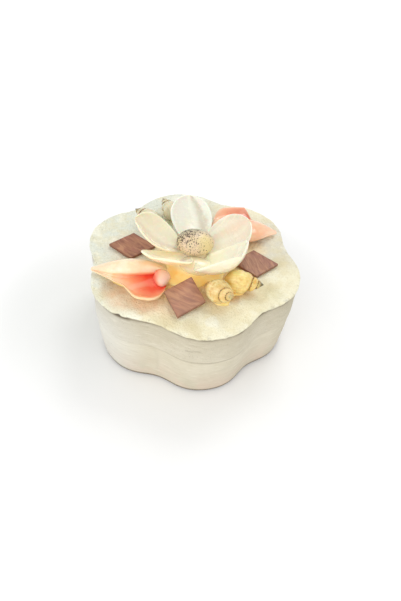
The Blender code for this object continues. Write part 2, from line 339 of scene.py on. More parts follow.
    def tint(self, color: Any, shade: Any, value: Socket, low: float, high: float,
             most: float = 1.0) -> Socket:
        """Let a shade into a color where a value passes a limit.

        Args:
            color: Color so far.
            shade: Color that comes in.
            value: The value that is read.
            low: Value at which the shade begins.
            high: Value at which it is fullest.
            most: Its share there.

        Returns:
            The color socket.
        """
        return self.blend(self.spread(value, low, high, 0.0, most), color, shade)

    def relief(self, height: Socket, depth: float, normal: Any = None, strength: float = 1.0) -> Socket:
        """Bump of the surface.

        Args:
            height: Value that gives the relief.
            depth: Height in metres that a value of 1 stands for.
            normal: Bump below this one, if any.
            strength: Share of the bump that shows.

        Returns:
            The socket of the bumped normal.
        """
        made = self.node("ShaderNodeBump", Strength=strength, Distance=depth, Height=height)
        if normal is not None:
            self.feed(made.inputs["Normal"], normal)
        return made.outputs["Normal"]

    def glow(self, color: Any, strength: Any) -> None:
        """Let the finish give off light of its own, which stands for light passed on inside."""
        self.feed(self.shader.inputs["Emission Color"], color)
        self.feed(self.shader.inputs["Emission Strength"], strength)

    def close(self, color: Any, roughness: Any, normal: Any = None, **shader: float) -> Material:
        """Wire the shader.

        Args:
            color: Base color, linked or plain.
            roughness: Roughness, linked or plain.
            normal: Bumped normal, if any.
            **shader: Other sockets by name with underscores, such as Coat_Weight.

        Returns:
            The finished material.
        """
        self.feed(self.shader.inputs["Base Color"], color)
        self.feed(self.shader.inputs["Roughness"], roughness)
        if normal is not None:
            self.feed(self.shader.inputs["Normal"], normal)
        for key, value in shader.items():
            self.shader.inputs[key.replace("_", " ")].default_value = value
        return self.material


class FormBench(NodeBench):
    """Workbench for a geometry node tree, with named inputs for its sizes."""

    def __init__(self, name: str) -> None:
        """Start a tree with one geometry in and one out."""
        super().__init__(bpy.data.node_groups.new(name, "GeometryNodeTree"))
        for way in ("INPUT", "OUTPUT"):
            self.tree.interface.new_socket("Geometry", in_out=way, socket_type="NodeSocketGeometry")
        self.source = self.tree.nodes.new("NodeGroupInput")
        self.sink = self.tree.nodes.new("NodeGroupOutput")
        self.keys: dict[str, str] = {}

    def size(self, name: str, kind: str = "Float") -> Socket:
        """Add a named input.

        Args:
            name: Name of the input.
            kind: Type of its socket.

        Returns:
            The socket where its value comes in.
        """
        item = self.tree.interface.new_socket(name, in_out="INPUT", socket_type="NodeSocket" + kind)
        self.keys[name] = item.identifier
        return self.source.outputs[name]

    def close(self, geometry: Socket) -> None:
        """End the tree in realized geometry that carries the finish.

        Args:
            geometry: Socket of the finished form.
        """
        finish = self.size("Finish", "Material")
        real = self.node("GeometryNodeRealizeInstances", Geometry=geometry)
        smooth = self.node("GeometryNodeSetShadeSmooth", Geometry=real.outputs[0])
        dressed = self.node("GeometryNodeSetMaterial", Geometry=smooth.outputs[0], Material=finish)
        self.feed(self.sink.inputs[0], dressed.outputs[0])

    def make(self, name: str, base: Mesh, sizes: dict[str, Any]) -> Piece:
        """Run the tree on a mesh.

        Args:
            name: Name of the new piece.
            base: Mesh that the tree starts from.
            sizes: Value of each named input.

        Returns:
            The piece as a plain mesh, with no modifier left.
        """
        piece = bpy.data.objects.new(name, base)
        bpy.context.scene.collection.objects.link(piece)
        modifier = piece.modifiers.new("form", "NODES")
        modifier.node_group = self.tree
        for key, value in sizes.items():
            modifier[self.keys[key]] = value
        graph = bpy.context.evaluated_depsgraph_get()
        mesh = bpy.data.meshes.new_from_object(piece.evaluated_get(graph))
        piece.modifiers.clear()
        piece.data = mesh
        mesh.name = name
        return piece


# ---------- meshes

def points_of(mesh: Mesh) -> np.ndarray:
    """All points of a mesh, one row each."""
    flat = np.zeros(len(mesh.vertices) * 3)
    mesh.vertices.foreach_get("co", flat)
    return flat.reshape(-1, 3)


def move_points(mesh: Mesh, points: np.ndarray) -> None:
    """Put the points of a mesh in new places."""
    mesh.vertices.foreach_set("co", points.reshape(-1))
    mesh.update()


def note(mesh: Mesh, name: str, values: np.ndarray) -> None:
    """Keep one value for each point under a name that finishes read."""
    attribute = mesh.attributes.new(name, "FLOAT", "POINT")
    attribute.data.foreach_set("value", np.asarray(values, dtype=np.float32).reshape(-1))


def outward(mesh: Mesh, weld: float = 0.0) -> None:
    """Turn all faces outwards.

    Args:
        mesh: Closed mesh, changed in place.
        weld: Points closer than this are joined first, in metres.
    """
    builder = bmesh.new()
    builder.from_mesh(mesh)
    if weld:
        bmesh.ops.remove_doubles(builder, verts=builder.verts, dist=weld)
    bmesh.ops.recalc_face_normals(builder, faces=builder.faces)
    if builder.calc_volume(signed=True) < 0:
        bmesh.ops.reverse_faces(builder, faces=builder.faces)
    builder.to_mesh(mesh)
    builder.free()


def new_piece(name: str, points: np.ndarray, faces: Sequence[Sequence[int]],
              finish: Material) -> Piece:
    """Make a smooth mesh piece from points and faces.

    Args:
        name: Name of the piece.
        points: One row for each point.
        faces: Corner numbers of each face.
        finish: Material of the piece.

    Returns:
        The new object, at the origin.
    """
    mesh = bpy.data.meshes.new(name)
    mesh.from_pydata([tuple(point) for point in points], [], faces)
    return smooth_piece(name, mesh, finish)


def built_piece(name: str, builder: bmesh.types.BMesh, finish: Material) -> Piece:
    """Make a smooth mesh piece from a builder.

    Args:
        name: Name of the piece.
        builder: Its shape, freed here.
        finish: Material of the piece.

    Returns:
        The new object.
    """
    mesh = bpy.data.meshes.new(name)
    builder.to_mesh(mesh)
    builder.free()
    return smooth_piece(name, mesh, finish)


def smooth_piece(name: str, mesh: Mesh, finish: Material) -> Piece:
    """Give a mesh its finish and put it in the scene.

    Args:
        name: Name of the piece.
        mesh: Its mesh.
        finish: Material of the piece.

    Returns:
        The new object, at the origin.
    """
    mesh.materials.append(finish)
    mesh.shade_smooth()
    piece = bpy.data.objects.new(name, mesh)
    bpy.context.scene.collection.objects.link(piece)
    return piece


def ring_faces(rows: int, columns: int, start: int = 0) -> Faces:
    """Faces between closed rings of points that follow each other.

    Args:
        rows: How many rings there are.
        columns: Points in each ring.
        start: Number of the first ring's first point.

    Returns:
        Corner numbers of each face.
    """
    faces = []
    for row in range(rows - 1):
        for column in range(columns):
            after = (column + 1) % columns
            base, above = start + row * columns, start + (row + 1) * columns
            faces.append((base + column, base + after, above + after, above + column))
    return faces


def dome_faces(rings: int, steps: int, start: int = 0) -> Faces:
    """Faces of a closed body made of a top point, rings and a bottom point.

    Args:
        rings: How many rings there are.
        steps: Points in each ring.
        start: Number of the top point; the rings and the bottom point follow it.

    Returns:
        Corner numbers of each face.
    """
    first, last = start + 1, start + 1 + (rings - 1) * steps
    foot = last + steps
    faces = ring_faces(rings, steps, first)
    for step in range(steps):
        after = (step + 1) % steps
        faces += [(start, first + step, first + after), (last + step, foot, last + after)]
    return faces


def curve_through(corners: np.ndarray, steps: int) -> np.ndarray:
    """Smooth closed curve through corners.

    Args:
        corners: Corners of the outline, one row each, or a stack of outlines.
        steps: Points between two corners.

    Returns:
        The points of the curve along the same axis.
    """
    parts = []
    before, after, later = (np.roll(corners, shift, axis=-2) for shift in (1, -1, -2))
    for step in range(steps):
        t = step / steps
        parts.append(0.5 * (2 * corners + (after - before) * t
                            + (2 * before - 5 * corners + 4 * after - later) * t ** 2
                            + (3 * corners - before - 3 * after + later) * t ** 3))
    stacked = np.stack(parts, axis=-2)
    return stacked.reshape(*corners.shape[:-2], corners.shape[-2] * steps, corners.shape[-1])


def settle(piece: Piece, slot: str, *nodes: str) -> Piece:
    """Tie a finished piece to the model and report it.

    Args:
        piece: The finished object.
        slot: Name of a material slot; not used.
        *nodes: CAD nodes that it stands for.

    Returns:
        The same object.
    """
    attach(piece, "root")
    if nodes:
        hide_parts(*nodes)
    LOG.info("%s: %d faces, stands for %s", piece.name, len(piece.data.polygons), ", ".join(nodes) or "trim")
    return piece


# ---------- finishes

class Coat(Enum):
    """Which part of the plaster a coat is for."""

    TOP = "top of the lid"
    WALL = "wall"


@dataclass(frozen=True)
class StainAndShade:
    """Round patch on the lid, from glue or painted shade: its middle and radii in millimetres, its strength
    and color.
    """

    across: float
    deep: float
    inner: float
    outer: float
    share: float
    color: Color


AMBER = tone(250, 206, 128)
PINK = tone(232, 196, 158)
# Glue stains, and painted shade and shadow where the comments below say.
STAINS_AND_SHADES = (
    StainAndShade(0, -4, 14.0, 26.0, 0.8, tone(250, 222, 166)), StainAndShade(-14, -20, 5.0, 15.0, 0.85, AMBER),
    StainAndShade(0, -22, 5.0, 13.0, 0.7, AMBER), StainAndShade(12, -22, 4.0, 13.0, 0.7, tone(246, 200, 132)),
    StainAndShade(31, 1, 2.0, 8.5, 0.8, tone(255, 232, 186)), StainAndShade(22, -16, 3.0, 9.0, 0.35, AMBER),
    # Painted shadow under the left conch's lifted lip and beside the front tile, on this line and the next.
    StainAndShade(-39.5, -18.0, 3.0, 8.0, 0.85, tone(202, 174, 138)), StainAndShade(-35, -24, 4.0, 11.0, 0.75, PINK),
    StainAndShade(-26, -29, 3.0, 9.0, 0.75, tone(240, 196, 158)), StainAndShade(-17, -33, 2.0, 8.0, 0.5, tone(250, 212, 172)),
    # Painted shadow around the front snails, on this line and in the first patch of the next.
    StainAndShade(12, -30, 2.0, 5.5, 0.8, tone(212, 166, 98)), StainAndShade(4, -36, 2.0, 6.5, 0.4, tone(228, 202, 150)),
    StainAndShade(20, -29, 1.5, 5.0, 0.5, tone(222, 184, 124)), StainAndShade(-30, 9, 6.0, 14.0, 0.3, PINK),
    # Painted shade in the dents of the lid, from here to the end.
    StainAndShade(-19.4, -38.7, 2.0, 7.0, 0.30, tone(224, 206, 156)),
    StainAndShade(-8.6, -43.5, 2.0, 6.0, 0.25, tone(226, 214, 174)),
    StainAndShade(28.1, -24.3, 2.0, 6.5, 0.55, tone(226, 212, 168)),
    StainAndShade(31.9, -30.7, 2.0, 6.5, 0.50, tone(222, 216, 176)),
    StainAndShade(22.0, -38.0, 2.0, 8.0, 0.35, tone(228, 218, 176)),
    StainAndShade(8.0, -44.0, 2.0, 7.0, 0.30, tone(232, 222, 180)),
)


@dataclass(frozen=True)
class PlasterFinish:
    """Matte cream coat: granular and stained with glue on the lid, brushed on the wall, with painted light
    and shade.
    """

    name: str
    coat: Coat
    cream: Color = tone(250, 245, 217)
    # Painted cool shade for the back left of the top.
    grey: Color = tone(230, 234, 221)
    wall: Color = tone(217, 209, 188)
    wall_dark: Color = tone(205, 196, 172)
    wall_pink: Color = tone(222, 204, 184)
    # Painted light of the wall's left side, then painted shade under the lid's edge and at the right.
    wall_left_light: Color = tone(222, 222, 216)
    wall_under_shade: Color = tone(168, 156, 126)
    wall_right_shade: Color = tone(176, 170, 142)
    streak_dark: Color = tone(180, 168, 140)
    streak_light: Color = tone(246, 240, 226)
    # Painted shade for the right side of the top.
    right: Color = tone(224, 221, 206)
    warm: Color = tone(236, 224, 178)
    pale: Color = tone(255, 253, 232)
    # Painted shade in the hollows of the top and painted highlight on its crests.
    hollow: Color = tone(222, 208, 164)
    crest_highlight: Color = tone(255, 254, 236)
    grit: Color = tone(198, 184, 132)
    # Tone of scratches and the seam, and of painted shadow lines.
    mark: Color = tone(100, 84, 62)
    speck: Color = tone(132, 112, 76)

    def material(self) -> Material:
        """Lay out the coat's nodes.

        Returns:
            The finished material.
        """
        bench = Bench(self.name)
        color = self.wall_color(bench)
        if self.coat is Coat.TOP:
            color = bench.blend(bench.trait("top"), color, self.lid_color(bench))
        # The mark trait darkens scratches and the seam, and paints shadow under the lid's edge and along the
        # foot.
        color = bench.blend(bench.trait("mark"), color, self.mark)
        specks = bench.spread(bench.cells(bench.place(), 0.55), 0.03, 0.12, 1.0, 0.0)
        chosen = bench.spread(bench.mottle(bench.place(shift=(31, 7, 3)), 0.21), 0.57, 0.63, 0.0, 0.8)
        color = bench.blend(bench.times(specks, chosen), color, self.speck)
        fine = bench.mottle(bench.place(), 2.4, 3.0, 0.7)
        coarse = bench.mottle(bench.place((1, 1, 1.6)), 0.55, 4.0, 0.62)
        if self.coat is Coat.TOP:
            crumbs = bench.cells(bench.place((1, 1, 0.7)), 1.15)
            normal = bench.relief(bench.spread(crumbs, 0.10, 0.55, 1.0, 0.0), 0.00022, strength=0.55)
            normal = bench.relief(fine, 0.00022, normal, 0.9)
            normal = bench.relief(coarse, 0.00085, normal, 0.75)
        else:
            brush = bench.mottle(bench.place((0.30, 0.30, 1.9)), 0.8, 3.0, 0.6)
            normal = bench.relief(fine, 0.00010, strength=0.7)
            normal = bench.relief(coarse, 0.00028, normal, 0.5)
            normal = bench.relief(brush, 0.00022, normal, 0.5)
        rough = bench.spread(coarse, 0.3, 0.7, 0.72, 0.92)
        return bench.close(color, rough, normal, Specular_IOR_Level=0.25)

    def lid_color(self, bench: Bench) -> Socket:
        """Cream top, warm where glue soaked in; painted shade at the back left, the right, in dents and under
        shells.

        Args:
            bench: Where the nodes go.

        Returns:
            The color socket.
        """
        # Painted shade: cooler and greyer towards the back left, darker near the right.
        axis = bench.axes(bench.place((1, 1, 0), turn=(0, 0, 42)))
        shade = bench.spread(axis.outputs["X"], 8.0, -30.0)
        color = bench.blend(shade, self.cream, self.grey)
        right = bench.near((46, 6), 8.0, 30.0)
        color = bench.blend(bench.times(right, 0.8), color, self.right)
        cloud = bench.mottle(bench.place((1, 1, 0.2)), 0.16, 5.0, 0.6)
        color = bench.tint(color, self.warm, cloud, 0.42, 0.66, 0.40)
        pale = bench.mottle(bench.place((1, 1, 0.2), shift=(17, 3, 0)), 0.34, 4.0, 0.6)
        color = bench.tint(color, self.pale, pale, 0.55, 0.70, 0.6)
        # Painted shade where the top's lumps dip, painted highlight where they rise.
        lump = bench.trait("lump")
        color = bench.tint(color, self.hollow, lump, -0.1, -1.0, 0.55)
        color = bench.tint(color, self.crest_highlight, lump, 0.0, 0.5, 0.7)
        grit = bench.mottle(bench.place(shift=(5, 9, 0)), 1.3, 3.0, 0.8)
        color = bench.tint(color, self.grit, grit, 0.52, 0.70, 0.38)
        ragged = bench.mottle(bench.place((1, 1, 0)), 0.30, 4.0, 0.6)
        # Glue stains, and painted shade and shadow, from the list above.
        for lid_patch in STAINS_AND_SHADES:
            patch = bench.near((lid_patch.across, lid_patch.deep), lid_patch.inner, lid_patch.outer)
            edge = bench.times(patch, bench.spread(ragged, 0.25, 0.70, 0.55, 1.0))
            color = bench.blend(bench.times(edge, lid_patch.share), color, lid_patch.color)
        return color

    def wall_color(self, bench: Bench) -> Socket:
        """Grey cream wall, faintly mottled; painted light at the left, painted shade under the lid's edge and
        at the right.

        Args:
            bench: Where the nodes go.

        Returns:
            The color socket.
        """
        axis = bench.axes(bench.place())
        cloud = bench.mottle(bench.place((1, 1, 1.6)), 0.09, 5.0, 0.6)
        color = bench.tint(self.wall, self.wall_dark, cloud, 0.36, 0.66, 0.55)
        low = bench.spread(axis.outputs["Z"], 20.0, 2.0)
        clouds = bench.spread(bench.mottle(bench.place(shift=(9, 4, 2)), 0.12), 0.35, 0.62)
        pink = bench.times(low, clouds)
        color = bench.blend(bench.times(pink, 0.8), color, self.wall_pink)
        # Painted light: the left side paler and cooler. Painted shade: darker under the lid's edge and
        # towards the right.
        cool = bench.spread(axis.outputs["X"], -24.0, -50.0, 0.0, 0.75)
        color = bench.blend(cool, color, self.wall_left_light)
        under = bench.spread(axis.outputs["Z"], 26.0, 43.0, 0.0, 0.34)
        color = bench.blend(under, color, self.wall_under_shade)
        right = bench.spread(axis.outputs["X"], 28.0, 50.0, 0.0, 0.35)
        color = bench.blend(right, color, self.wall_right_shade)
        streak = bench.mottle(bench.place((0.22, 0.22, 2.2)), 0.62, 4.0, 0.65)
        color = bench.tint(color, self.streak_dark, streak, 0.50, 0.76, 0.26)
        return bench.tint(color, self.streak_light, streak, 0.46, 0.28, 0.32)


@dataclass(frozen=True)
class GlueFinish:
    """Clear amber glue, glossy, deeper where it lies thick, pale under the dome and at the back."""

    name: str = "amber_glue"
    thin: Color = tone(255, 222, 146)
    thick: Color = tone(255, 206, 112)
    deep: Color = tone(250, 190, 84)
    bubble: Color = tone(255, 250, 226)
    under_dome: Color = tone(250, 240, 206)
    at_back: Color = tone(226, 218, 186)
    glow: float = 0.22

    def material(self) -> Material:
        """Lay out the glue's nodes.

        Returns:
            The finished material.
        """
        bench = Bench(self.name)
        cloud = bench.mottle(bench.place(), 0.26, 4.0, 0.55)
        color = bench.tint(self.thin, self.thick, cloud, 0.35, 0.65)
        color = bench.blend(bench.trait("depth"), self.thin, color)
        deep = bench.times(bench.near((1.5, -21.5), 0.6, 4.5), 0.75)
        color = bench.blend(deep, color, self.deep)
        bubbles = bench.spread(bench.cells(bench.place(), 1.1), 0.05, 0.14, 1.0, 0.0)
        color = bench.blend(bench.times(bubbles, 0.25), color, self.bubble)
        normal = bench.relief(bench.mottle(bench.place(), 0.5, 2.0, 0.5), 0.00035)
        color = bench.blend(bench.near((0, -4), 9.0, 13.5), color, self.under_dome)
        back = bench.spread(bench.axes(bench.place()).outputs["Y"], 0.0, 8.0)
        color = bench.blend(back, color, self.at_back)
        bench.glow(color, bench.spread(back, 0.0, 1.0, self.glow, 0.0))
        return bench.close(color, bench.spread(cloud, 0.3, 0.7, 0.14, 0.26), normal, Coat_Weight=0.7,
                           Coat_Roughness=0.06, Subsurface_Weight=0.25, Subsurface_Scale=0.003)


@dataclass(frozen=True)
class PearlFinish:
    """Pearly half shell: a pale rim, soft color bands inside, growth lines all over, scattered painted
    glints.
    """

    name: str
    inner: Color
    deep: Color
    band: Color
    rim: Color
    outer: Color
    light: Color = tone(255, 253, 238)
    band_turn: float = 40.0
    band_share: float = 0.55
    band_middle: float = 0.75
    rim_share: float = 0.75
    iris: float = 0.0
    glow: float = 0.0
    painted_glint: Color = tone(255, 255, 252)
    line: Color = tone(208, 192, 158)

    def material(self) -> Material:
        """Lay out the shell's nodes.

        Returns:
            The finished material.
        """
        bench = Bench(self.name)
        along, across = bench.trait("along"), bench.trait("across")
        cloud = bench.mottle(bench.place(), 0.20, 4.0, 0.55)
        color = bench.tint(self.deep, self.inner, along, 0.05, 0.70)
        turn = radians(self.band_turn)
        slant = bench.sum("ADD", bench.times(across, sin(turn)),
                          bench.times(along, cos(turn)))
        wavy = bench.sum("ADD", slant, bench.times(cloud, 0.45))
        stripes = (
            (0.0, 0.26, 1.0, self.band), (0.34, 0.20, 0.7, self.light), (-0.36, 0.16, 0.5, self.light))
        for shift, width, share, shade in stripes:
            gap = bench.sum("ABSOLUTE", bench.sum("SUBTRACT", wavy, self.band_middle + shift))
            stripe = bench.spread(gap, 0.02, width, 1.0, 0.0)
            color = bench.blend(bench.times(stripe, share * self.band_share), color, shade)
        flecks = bench.mottle(bench.place(), 1.3, 2.0, 0.7)
        color = bench.tint(color, self.light, flecks, 0.60, 0.74, 0.55)
        # Painted highlights: small white glints scattered over part of the shell.
        glint_spots = bench.spread(bench.cells(bench.place(), 1.05), 0.10, 0.24, 1.0, 0.0)
        picked = bench.spread(bench.mottle(bench.place(shift=(4, 2, 9)), 0.34, 3.0, 0.6), 0.54, 0.62)
        color = bench.blend(bench.times(glint_spots, picked), color, self.painted_glint)
        if self.iris:
            play = bench.ramp(bench.bands(bench.place(turn=(0, 0, 62)), 0.09, 1.4), (
                (0.0, tone(206, 232, 206)), (0.35, tone(250, 214, 202)), (0.65, tone(208, 232, 208)),
                (1.0, tone(252, 244, 222))))
            shown = bench.times(bench.spread(bench.trait("rim"), 1.2, 4.6, 1.0, 0.0), self.iris)
            color = bench.blend(shown, color, play)
        color = bench.blend(bench.trait("face"), color, self.outer)
        growth = bench.trait("growth")
        wobble = bench.sum("ADD", growth, bench.times(cloud, 0.16))
        lines = bench.sum("SINE", bench.times(wobble, 88.0))
        color = bench.tint(color, self.line, lines, 0.2, 1.0, 0.04)
        edge = bench.spread(bench.trait("rim"), 0.0, 1.9, 0.6 * self.rim_share, 0.0)
        color = bench.blend(edge, color, self.rim)
        normal = bench.relief(lines, 0.00003, strength=0.3)
        normal = bench.relief(cloud, 0.0007, normal, 0.5)
        normal = bench.relief(flecks, 0.00012, normal, 0.35)
        rough = bench.spread(cloud, 0.3, 0.7, 0.16, 0.32)
        bench.glow(color, self.glow)
        return bench.close(color, rough, normal, Coat_Weight=0.45, Coat_Roughness=0.08,
                           Subsurface_Weight=0.35, Subsurface_Scale=0.002)


@dataclass(frozen=True)
class SpeckledFinish:
    """Polished beige shell with many small dark brown specks."""

    name: str = "speckled_shell"
    base: Color = tone(224, 202, 162)
    olive: Color = tone(172, 166, 136)
    rose: Color = tone(228, 202, 172)
    vein: Color = tone(255, 240, 206)
    yellow: Color = tone(232, 212, 152)
    speck: Color = tone(66, 44, 28)

    def material(self) -> Material:
        """Lay out the speckles.

        Returns:
            The finished material.
        """
        bench = Bench(self.name)
        axis = bench.axes(bench.place())
        cloud = bench.mottle(bench.place(), 0.30, 4.0, 0.6)
        color = bench.tint(self.base, self.rose, cloud, 0.4, 0.6)
        back = bench.spread(axis.outputs["Y"], -4.0, 3.5)
        color = bench.blend(bench.times(back, 0.9), color, self.olive)
        color = bench.blend(bench.near((4.2, -5.4), 0.5, 6.0), color, self.yellow)
        veins = bench.mottle(bench.place(shift=(3, 1, 0)), 0.9, 3.0, 0.7)
        color = bench.tint(color, self.vein, veins, 0.55, 0.70, 0.5)
        left = bench.spread(axis.outputs["X"], 7.0, -6.0, 0.55, 1.0)
        upper = bench.spread(axis.outputs["Y"], -7.0, 3.0, 0.62, 1.0)
        dense = bench.times(left, upper)
        for scale, seed, size in ((0.85, 3.0, 0.57), (1.15, 11.0, 0.51), (1.6, 23.0, 0.46)):
            warped = bench.place((1, 1, 0.8), shift=(seed, -seed, 0.4 * seed))
            dots = bench.cells(warped, scale)
            room = bench.spread(bench.mottle(warped, 0.55), 0.36, 0.58, 0.42, 1.0)
            size_here = bench.times(bench.times(dense, room), size)
            gap = bench.sum("SUBTRACT", size_here, dots)
            color = bench.tint(color, self.speck, gap, -0.02, 0.05, 0.92)
        normal = bench.relief(cloud, 0.0004, strength=0.5)
        return bench.close(color, 0.36, normal, Coat_Weight=0.25, Coat_Roughness=0.22)


@dataclass(frozen=True)
class NacreFinish:
    """Cut tile of mauve brown shell with wavy grain, darker edges and a share of painted glare."""

    name: str
    turn: float
    # Share of painted glare: a paler cast that stands for light reflected off the tile.
    light: float
    base: Color = tone(160, 108, 76)
    pink: Color = tone(160, 102, 78)
    pale: Color = tone(184, 134, 98)
    dark: Color = tone(130, 78, 56)
    glare: Color = tone(222, 176, 150)
    edge: Color = tone(118, 76, 60)

    def material(self) -> Material:
        """Lay out the grain.

        Returns:
            The finished material.
        """
        bench = Bench(self.name)
        turned = bench.place(turn=(0, 0, self.turn))
        broad = bench.mottle(bench.drawn_out(turned, (0.14, 0.62, 0.3)), 0.75, 3.0, 0.55, 0.8)
        fine = bench.mottle(bench.drawn_out(turned, (0.18, 1.3, 0.3)), 0.9, 4.0, 0.6, 0.5)
        cloud = bench.mottle(bench.place(), 0.14, 3.0, 0.5)
        color = bench.tint(self.base, self.pink, cloud, 0.38, 0.62)
        color = bench.tint(color, self.pale, broad, 0.50, 0.62, 0.85)
        color = bench.tint(color, self.dark, broad, 0.48, 0.37, 0.85)
        color = bench.tint(color, self.pale, fine, 0.54, 0.74, 0.40)
        color = bench.tint(color, self.dark, fine, 0.46, 0.30, 0.50)
        # Painted reflection: the tile paler by the share light.
        color = bench.blend(self.light, color, self.glare)
        color = bench.blend(bench.times(bench.trait("edge"), 0.55), color, self.edge)
        normal = bench.relief(fine, 0.00008, strength=0.5)
        normal = bench.relief(cloud, 0.0003, normal, 0.3)
        return bench.close(color, bench.spread(broad, 0.3, 0.7, 0.34, 0.46), normal, Coat_Weight=0.15,
                           Coat_Roughness=0.20)


@dataclass(frozen=True)
class CoralFinish:
    """Smooth conch: peach outside, salmon to deep coral towards the axis inside."""

    name: str
    body: Color
    ridge: Color
    mouth: Color
    red: Color
    lip: Color
    knob: Color
    show: tuple[float, ...] = (0.0, 0.30, 0.62, 1.0, 1.0)
    tail: Color = tone(252, 212, 180)
    sheen: Color = tone(255, 244, 226)

    def material(self) -> Material:
        """Lay out the conch's colors.

        Returns:
            The finished material.
        """
        bench = Bench(self.name)
        cloud = bench.mottle(bench.place(), 0.20, 4.0, 0.55)
        inside, along, lip = bench.trait("inside"), bench.trait("along"), bench.trait("lip")
        color = bench.tint(self.body, self.ridge, cloud, 0.38, 0.62)
        color = bench.tint(color, self.tail, along, 0.30, 0.0, 0.55)
        depth = bench.sum("ADD", inside, bench.times(bench.sum("SUBTRACT", cloud, 0.5), 0.30))
        throat = bench.ramp(depth, ((0.0, self.lip), (0.20, tone(254, 204, 160)), (0.50, self.mouth),
                                    (0.82, self.red), (1.0, self.red)))
        color = bench.tint(color, throat, inside, 0.01, 0.09)
        color = bench.blend(lip, color, self.lip)
        color = bench.blend(bench.trait("knob"), color, self.knob)
        streak = bench.bands(bench.place(turn=(0, 0, 60)), 0.030, 5.0, 3.0)
        color = bench.tint(color, self.sheen, streak, 0.6, 1.0, 0.14)
        normal = bench.relief(streak, 0.00004, strength=0.4)
        normal = bench.relief(cloud, 0.0004, normal, 0.4)
        return bench.close(color, bench.spread(cloud, 0.3, 0.7, 0.14, 0.28), normal, Coat_Weight=0.55,
                           Coat_Roughness=0.06, Subsurface_Weight=0.15, Subsurface_Scale=0.0015)


@dataclass(frozen=True)
class HornFinish:
    """Snail shell: cream and gold whorls with a dark seam and faint ribs."""

    name: str
    cream: Color
    gold: Color
    seam: Color
    tip: Color

    def material(self) -> Material:
        """Lay out the whorls' colors.

        Returns:
            The finished material.
        """
        bench = Bench(self.name)
        cloud = bench.mottle(bench.place(), 0.32, 4.0, 0.6)
        along, groove, turn = bench.trait("along"), bench.trait("groove"), bench.trait("turn")
        color = bench.tint(self.cream, self.gold, cloud, 0.44, 0.74)
        color = bench.tint(color, self.gold, groove, 0.15, 0.75, 0.7)
        color = bench.tint(color, self.gold, along, 0.26, 0.04, 0.7)
        color = bench.tint(color, self.gold, along, 0.48, 0.60, 0.45)
        ribs = bench.sum("SINE", bench.times(turn, 150.0))
        color = bench.tint(color, self.gold, ribs, 0.3, 1.0, 0.22)
        color = bench.tint(color, self.tip, along, 0.80, 0.97)
        color = bench.tint(color, self.seam, groove, 0.55, 0.95, 0.85)
        normal = bench.relief(ribs, 0.00006, strength=0.6)
        return bench.close(color, bench.spread(cloud, 0.3, 0.7, 0.16, 0.28), normal, Coat_Weight=0.6,
                           Coat_Roughness=0.08, Subsurface_Weight=0.25, Subsurface_Scale=0.001)


@dataclass(frozen=True)
class BeadFinish:
    """Dark brown beads in the seams of the snail shells."""

    name: str = "seam_beads"
    dark: Color = tone(112, 78, 40)
    light: Color = tone(196, 152, 86)

    def material(self) -> Material:
        """Lay out the beads' color.

        Returns:
            The finished material.
        """
        bench = Bench(self.name)
        cloud = bench.mottle(bench.place(), 1.2, 3.0, 0.6)
        color = bench.tint(self.dark, self.light, cloud, 0.4, 0.6)
        return bench.close(color, 0.4, bench.relief(cloud, 0.0001, strength=0.4), Coat_Weight=0.2)


@dataclass(frozen=True)
class FloorFinish:
    """Plain pale studio floor: cool near the box with soft shade at the left, bright far away."""

    name: str = "studio_floor"
    dim: Color = (0.905, 0.91, 0.91)
    plain: Color = (0.925, 0.93, 0.93)
    shade: Color = (0.81, 0.82, 0.81)

    def material(self) -> Material:
        """Lay out the floor's nodes.

        Returns:
            The finished material.
        """
        bench = Bench(self.name)
        cloud = bench.mottle(bench.place(), 0.004, 2.0, 0.5)
        color = bench.tint(self.dim, self.plain, cloud, 0.3, 0.7)
        near = bench.near((0, 0), 70.0, 200.0)
        color = bench.blend(bench.near((-64, 14), 12.0, 75.0), color, self.shade)
        bench.glow((1.0, 1.0, 1.0), bench.spread(near, 0.0, 1.0, 0.5, 0.03))
        return bench.close(color, 0.9, Specular_IOR_Level=0.1)


# ---------- plaster box

@dataclass(frozen=True)
class Scratch:
    """Scratch or crack in the wall.

    The path gives bearing in degrees and height in millimetres of each point, the width is in
    millimetres, the depth in metres, and the shade is the share of the mark's tone.
    """

    path: tuple[tuple[float, float], ...]
    width: float
    depth: float
    shade: float

    def strength(self, bearing: np.ndarray, height: np.ndarray) -> np.ndarray:
        """How deep the scratch is at places on the wall.

        Args:
            bearing: Bearing of each place in degrees.
            height: Height of each place in millimetres.

        Returns:
            One value for each place, from 0 to 1.
        """
        reach = np.full(bearing.shape, 1e9)
        for (first, low), (second, high) in zip(self.path, self.path[1:]):
            start = np.array((first * WALL_ARC, low))
            step = np.array(((second - first) * WALL_ARC, high - low))
            gap_x, gap_y = bearing * WALL_ARC - start[0], height - start[1]
            share = np.clip((gap_x * step[0] + gap_y * step[1]) / (step @ step), 0, 1)
            reach = np.minimum(reach, np.hypot(gap_x - share * step[0], gap_y - share * step[1]))
        return np.exp(-(reach / self.width) ** 2)


SCRATCHES = (
    Scratch(((-127.5, 26.4), (-124.0, 25.2), (-120.9, 24.0), (-119.6, 20.0), (-119.4, 15.4), (-119.6, 8.0)),
            1.10, 0.00014, 0.05),
    Scratch(((-103.4, 32.5), (-100.0, 33.0), (-96.6, 33.5)), 0.42, 0.00015, 0.26),
    Scratch(((-100.2, 13.6), (-95.0, 11.6), (-91.0, 10.3)), 0.60, 0.00006, 0.05),
    Scratch(((-88.0, 18.5), (-82.0, 17.4), (-78.0, 17.8)), 0.60, 0.00005, 0.05),
)


def wall_relief(points: np.ndarray) -> np.ndarray:
    """Outward unevenness of the hand-made wall, the same for lid and base."""
    return 0.00030 * grain(points, 0.020, 3.0, 3) + 0.00010 * grain(points, 0.004, 8.0, 3)


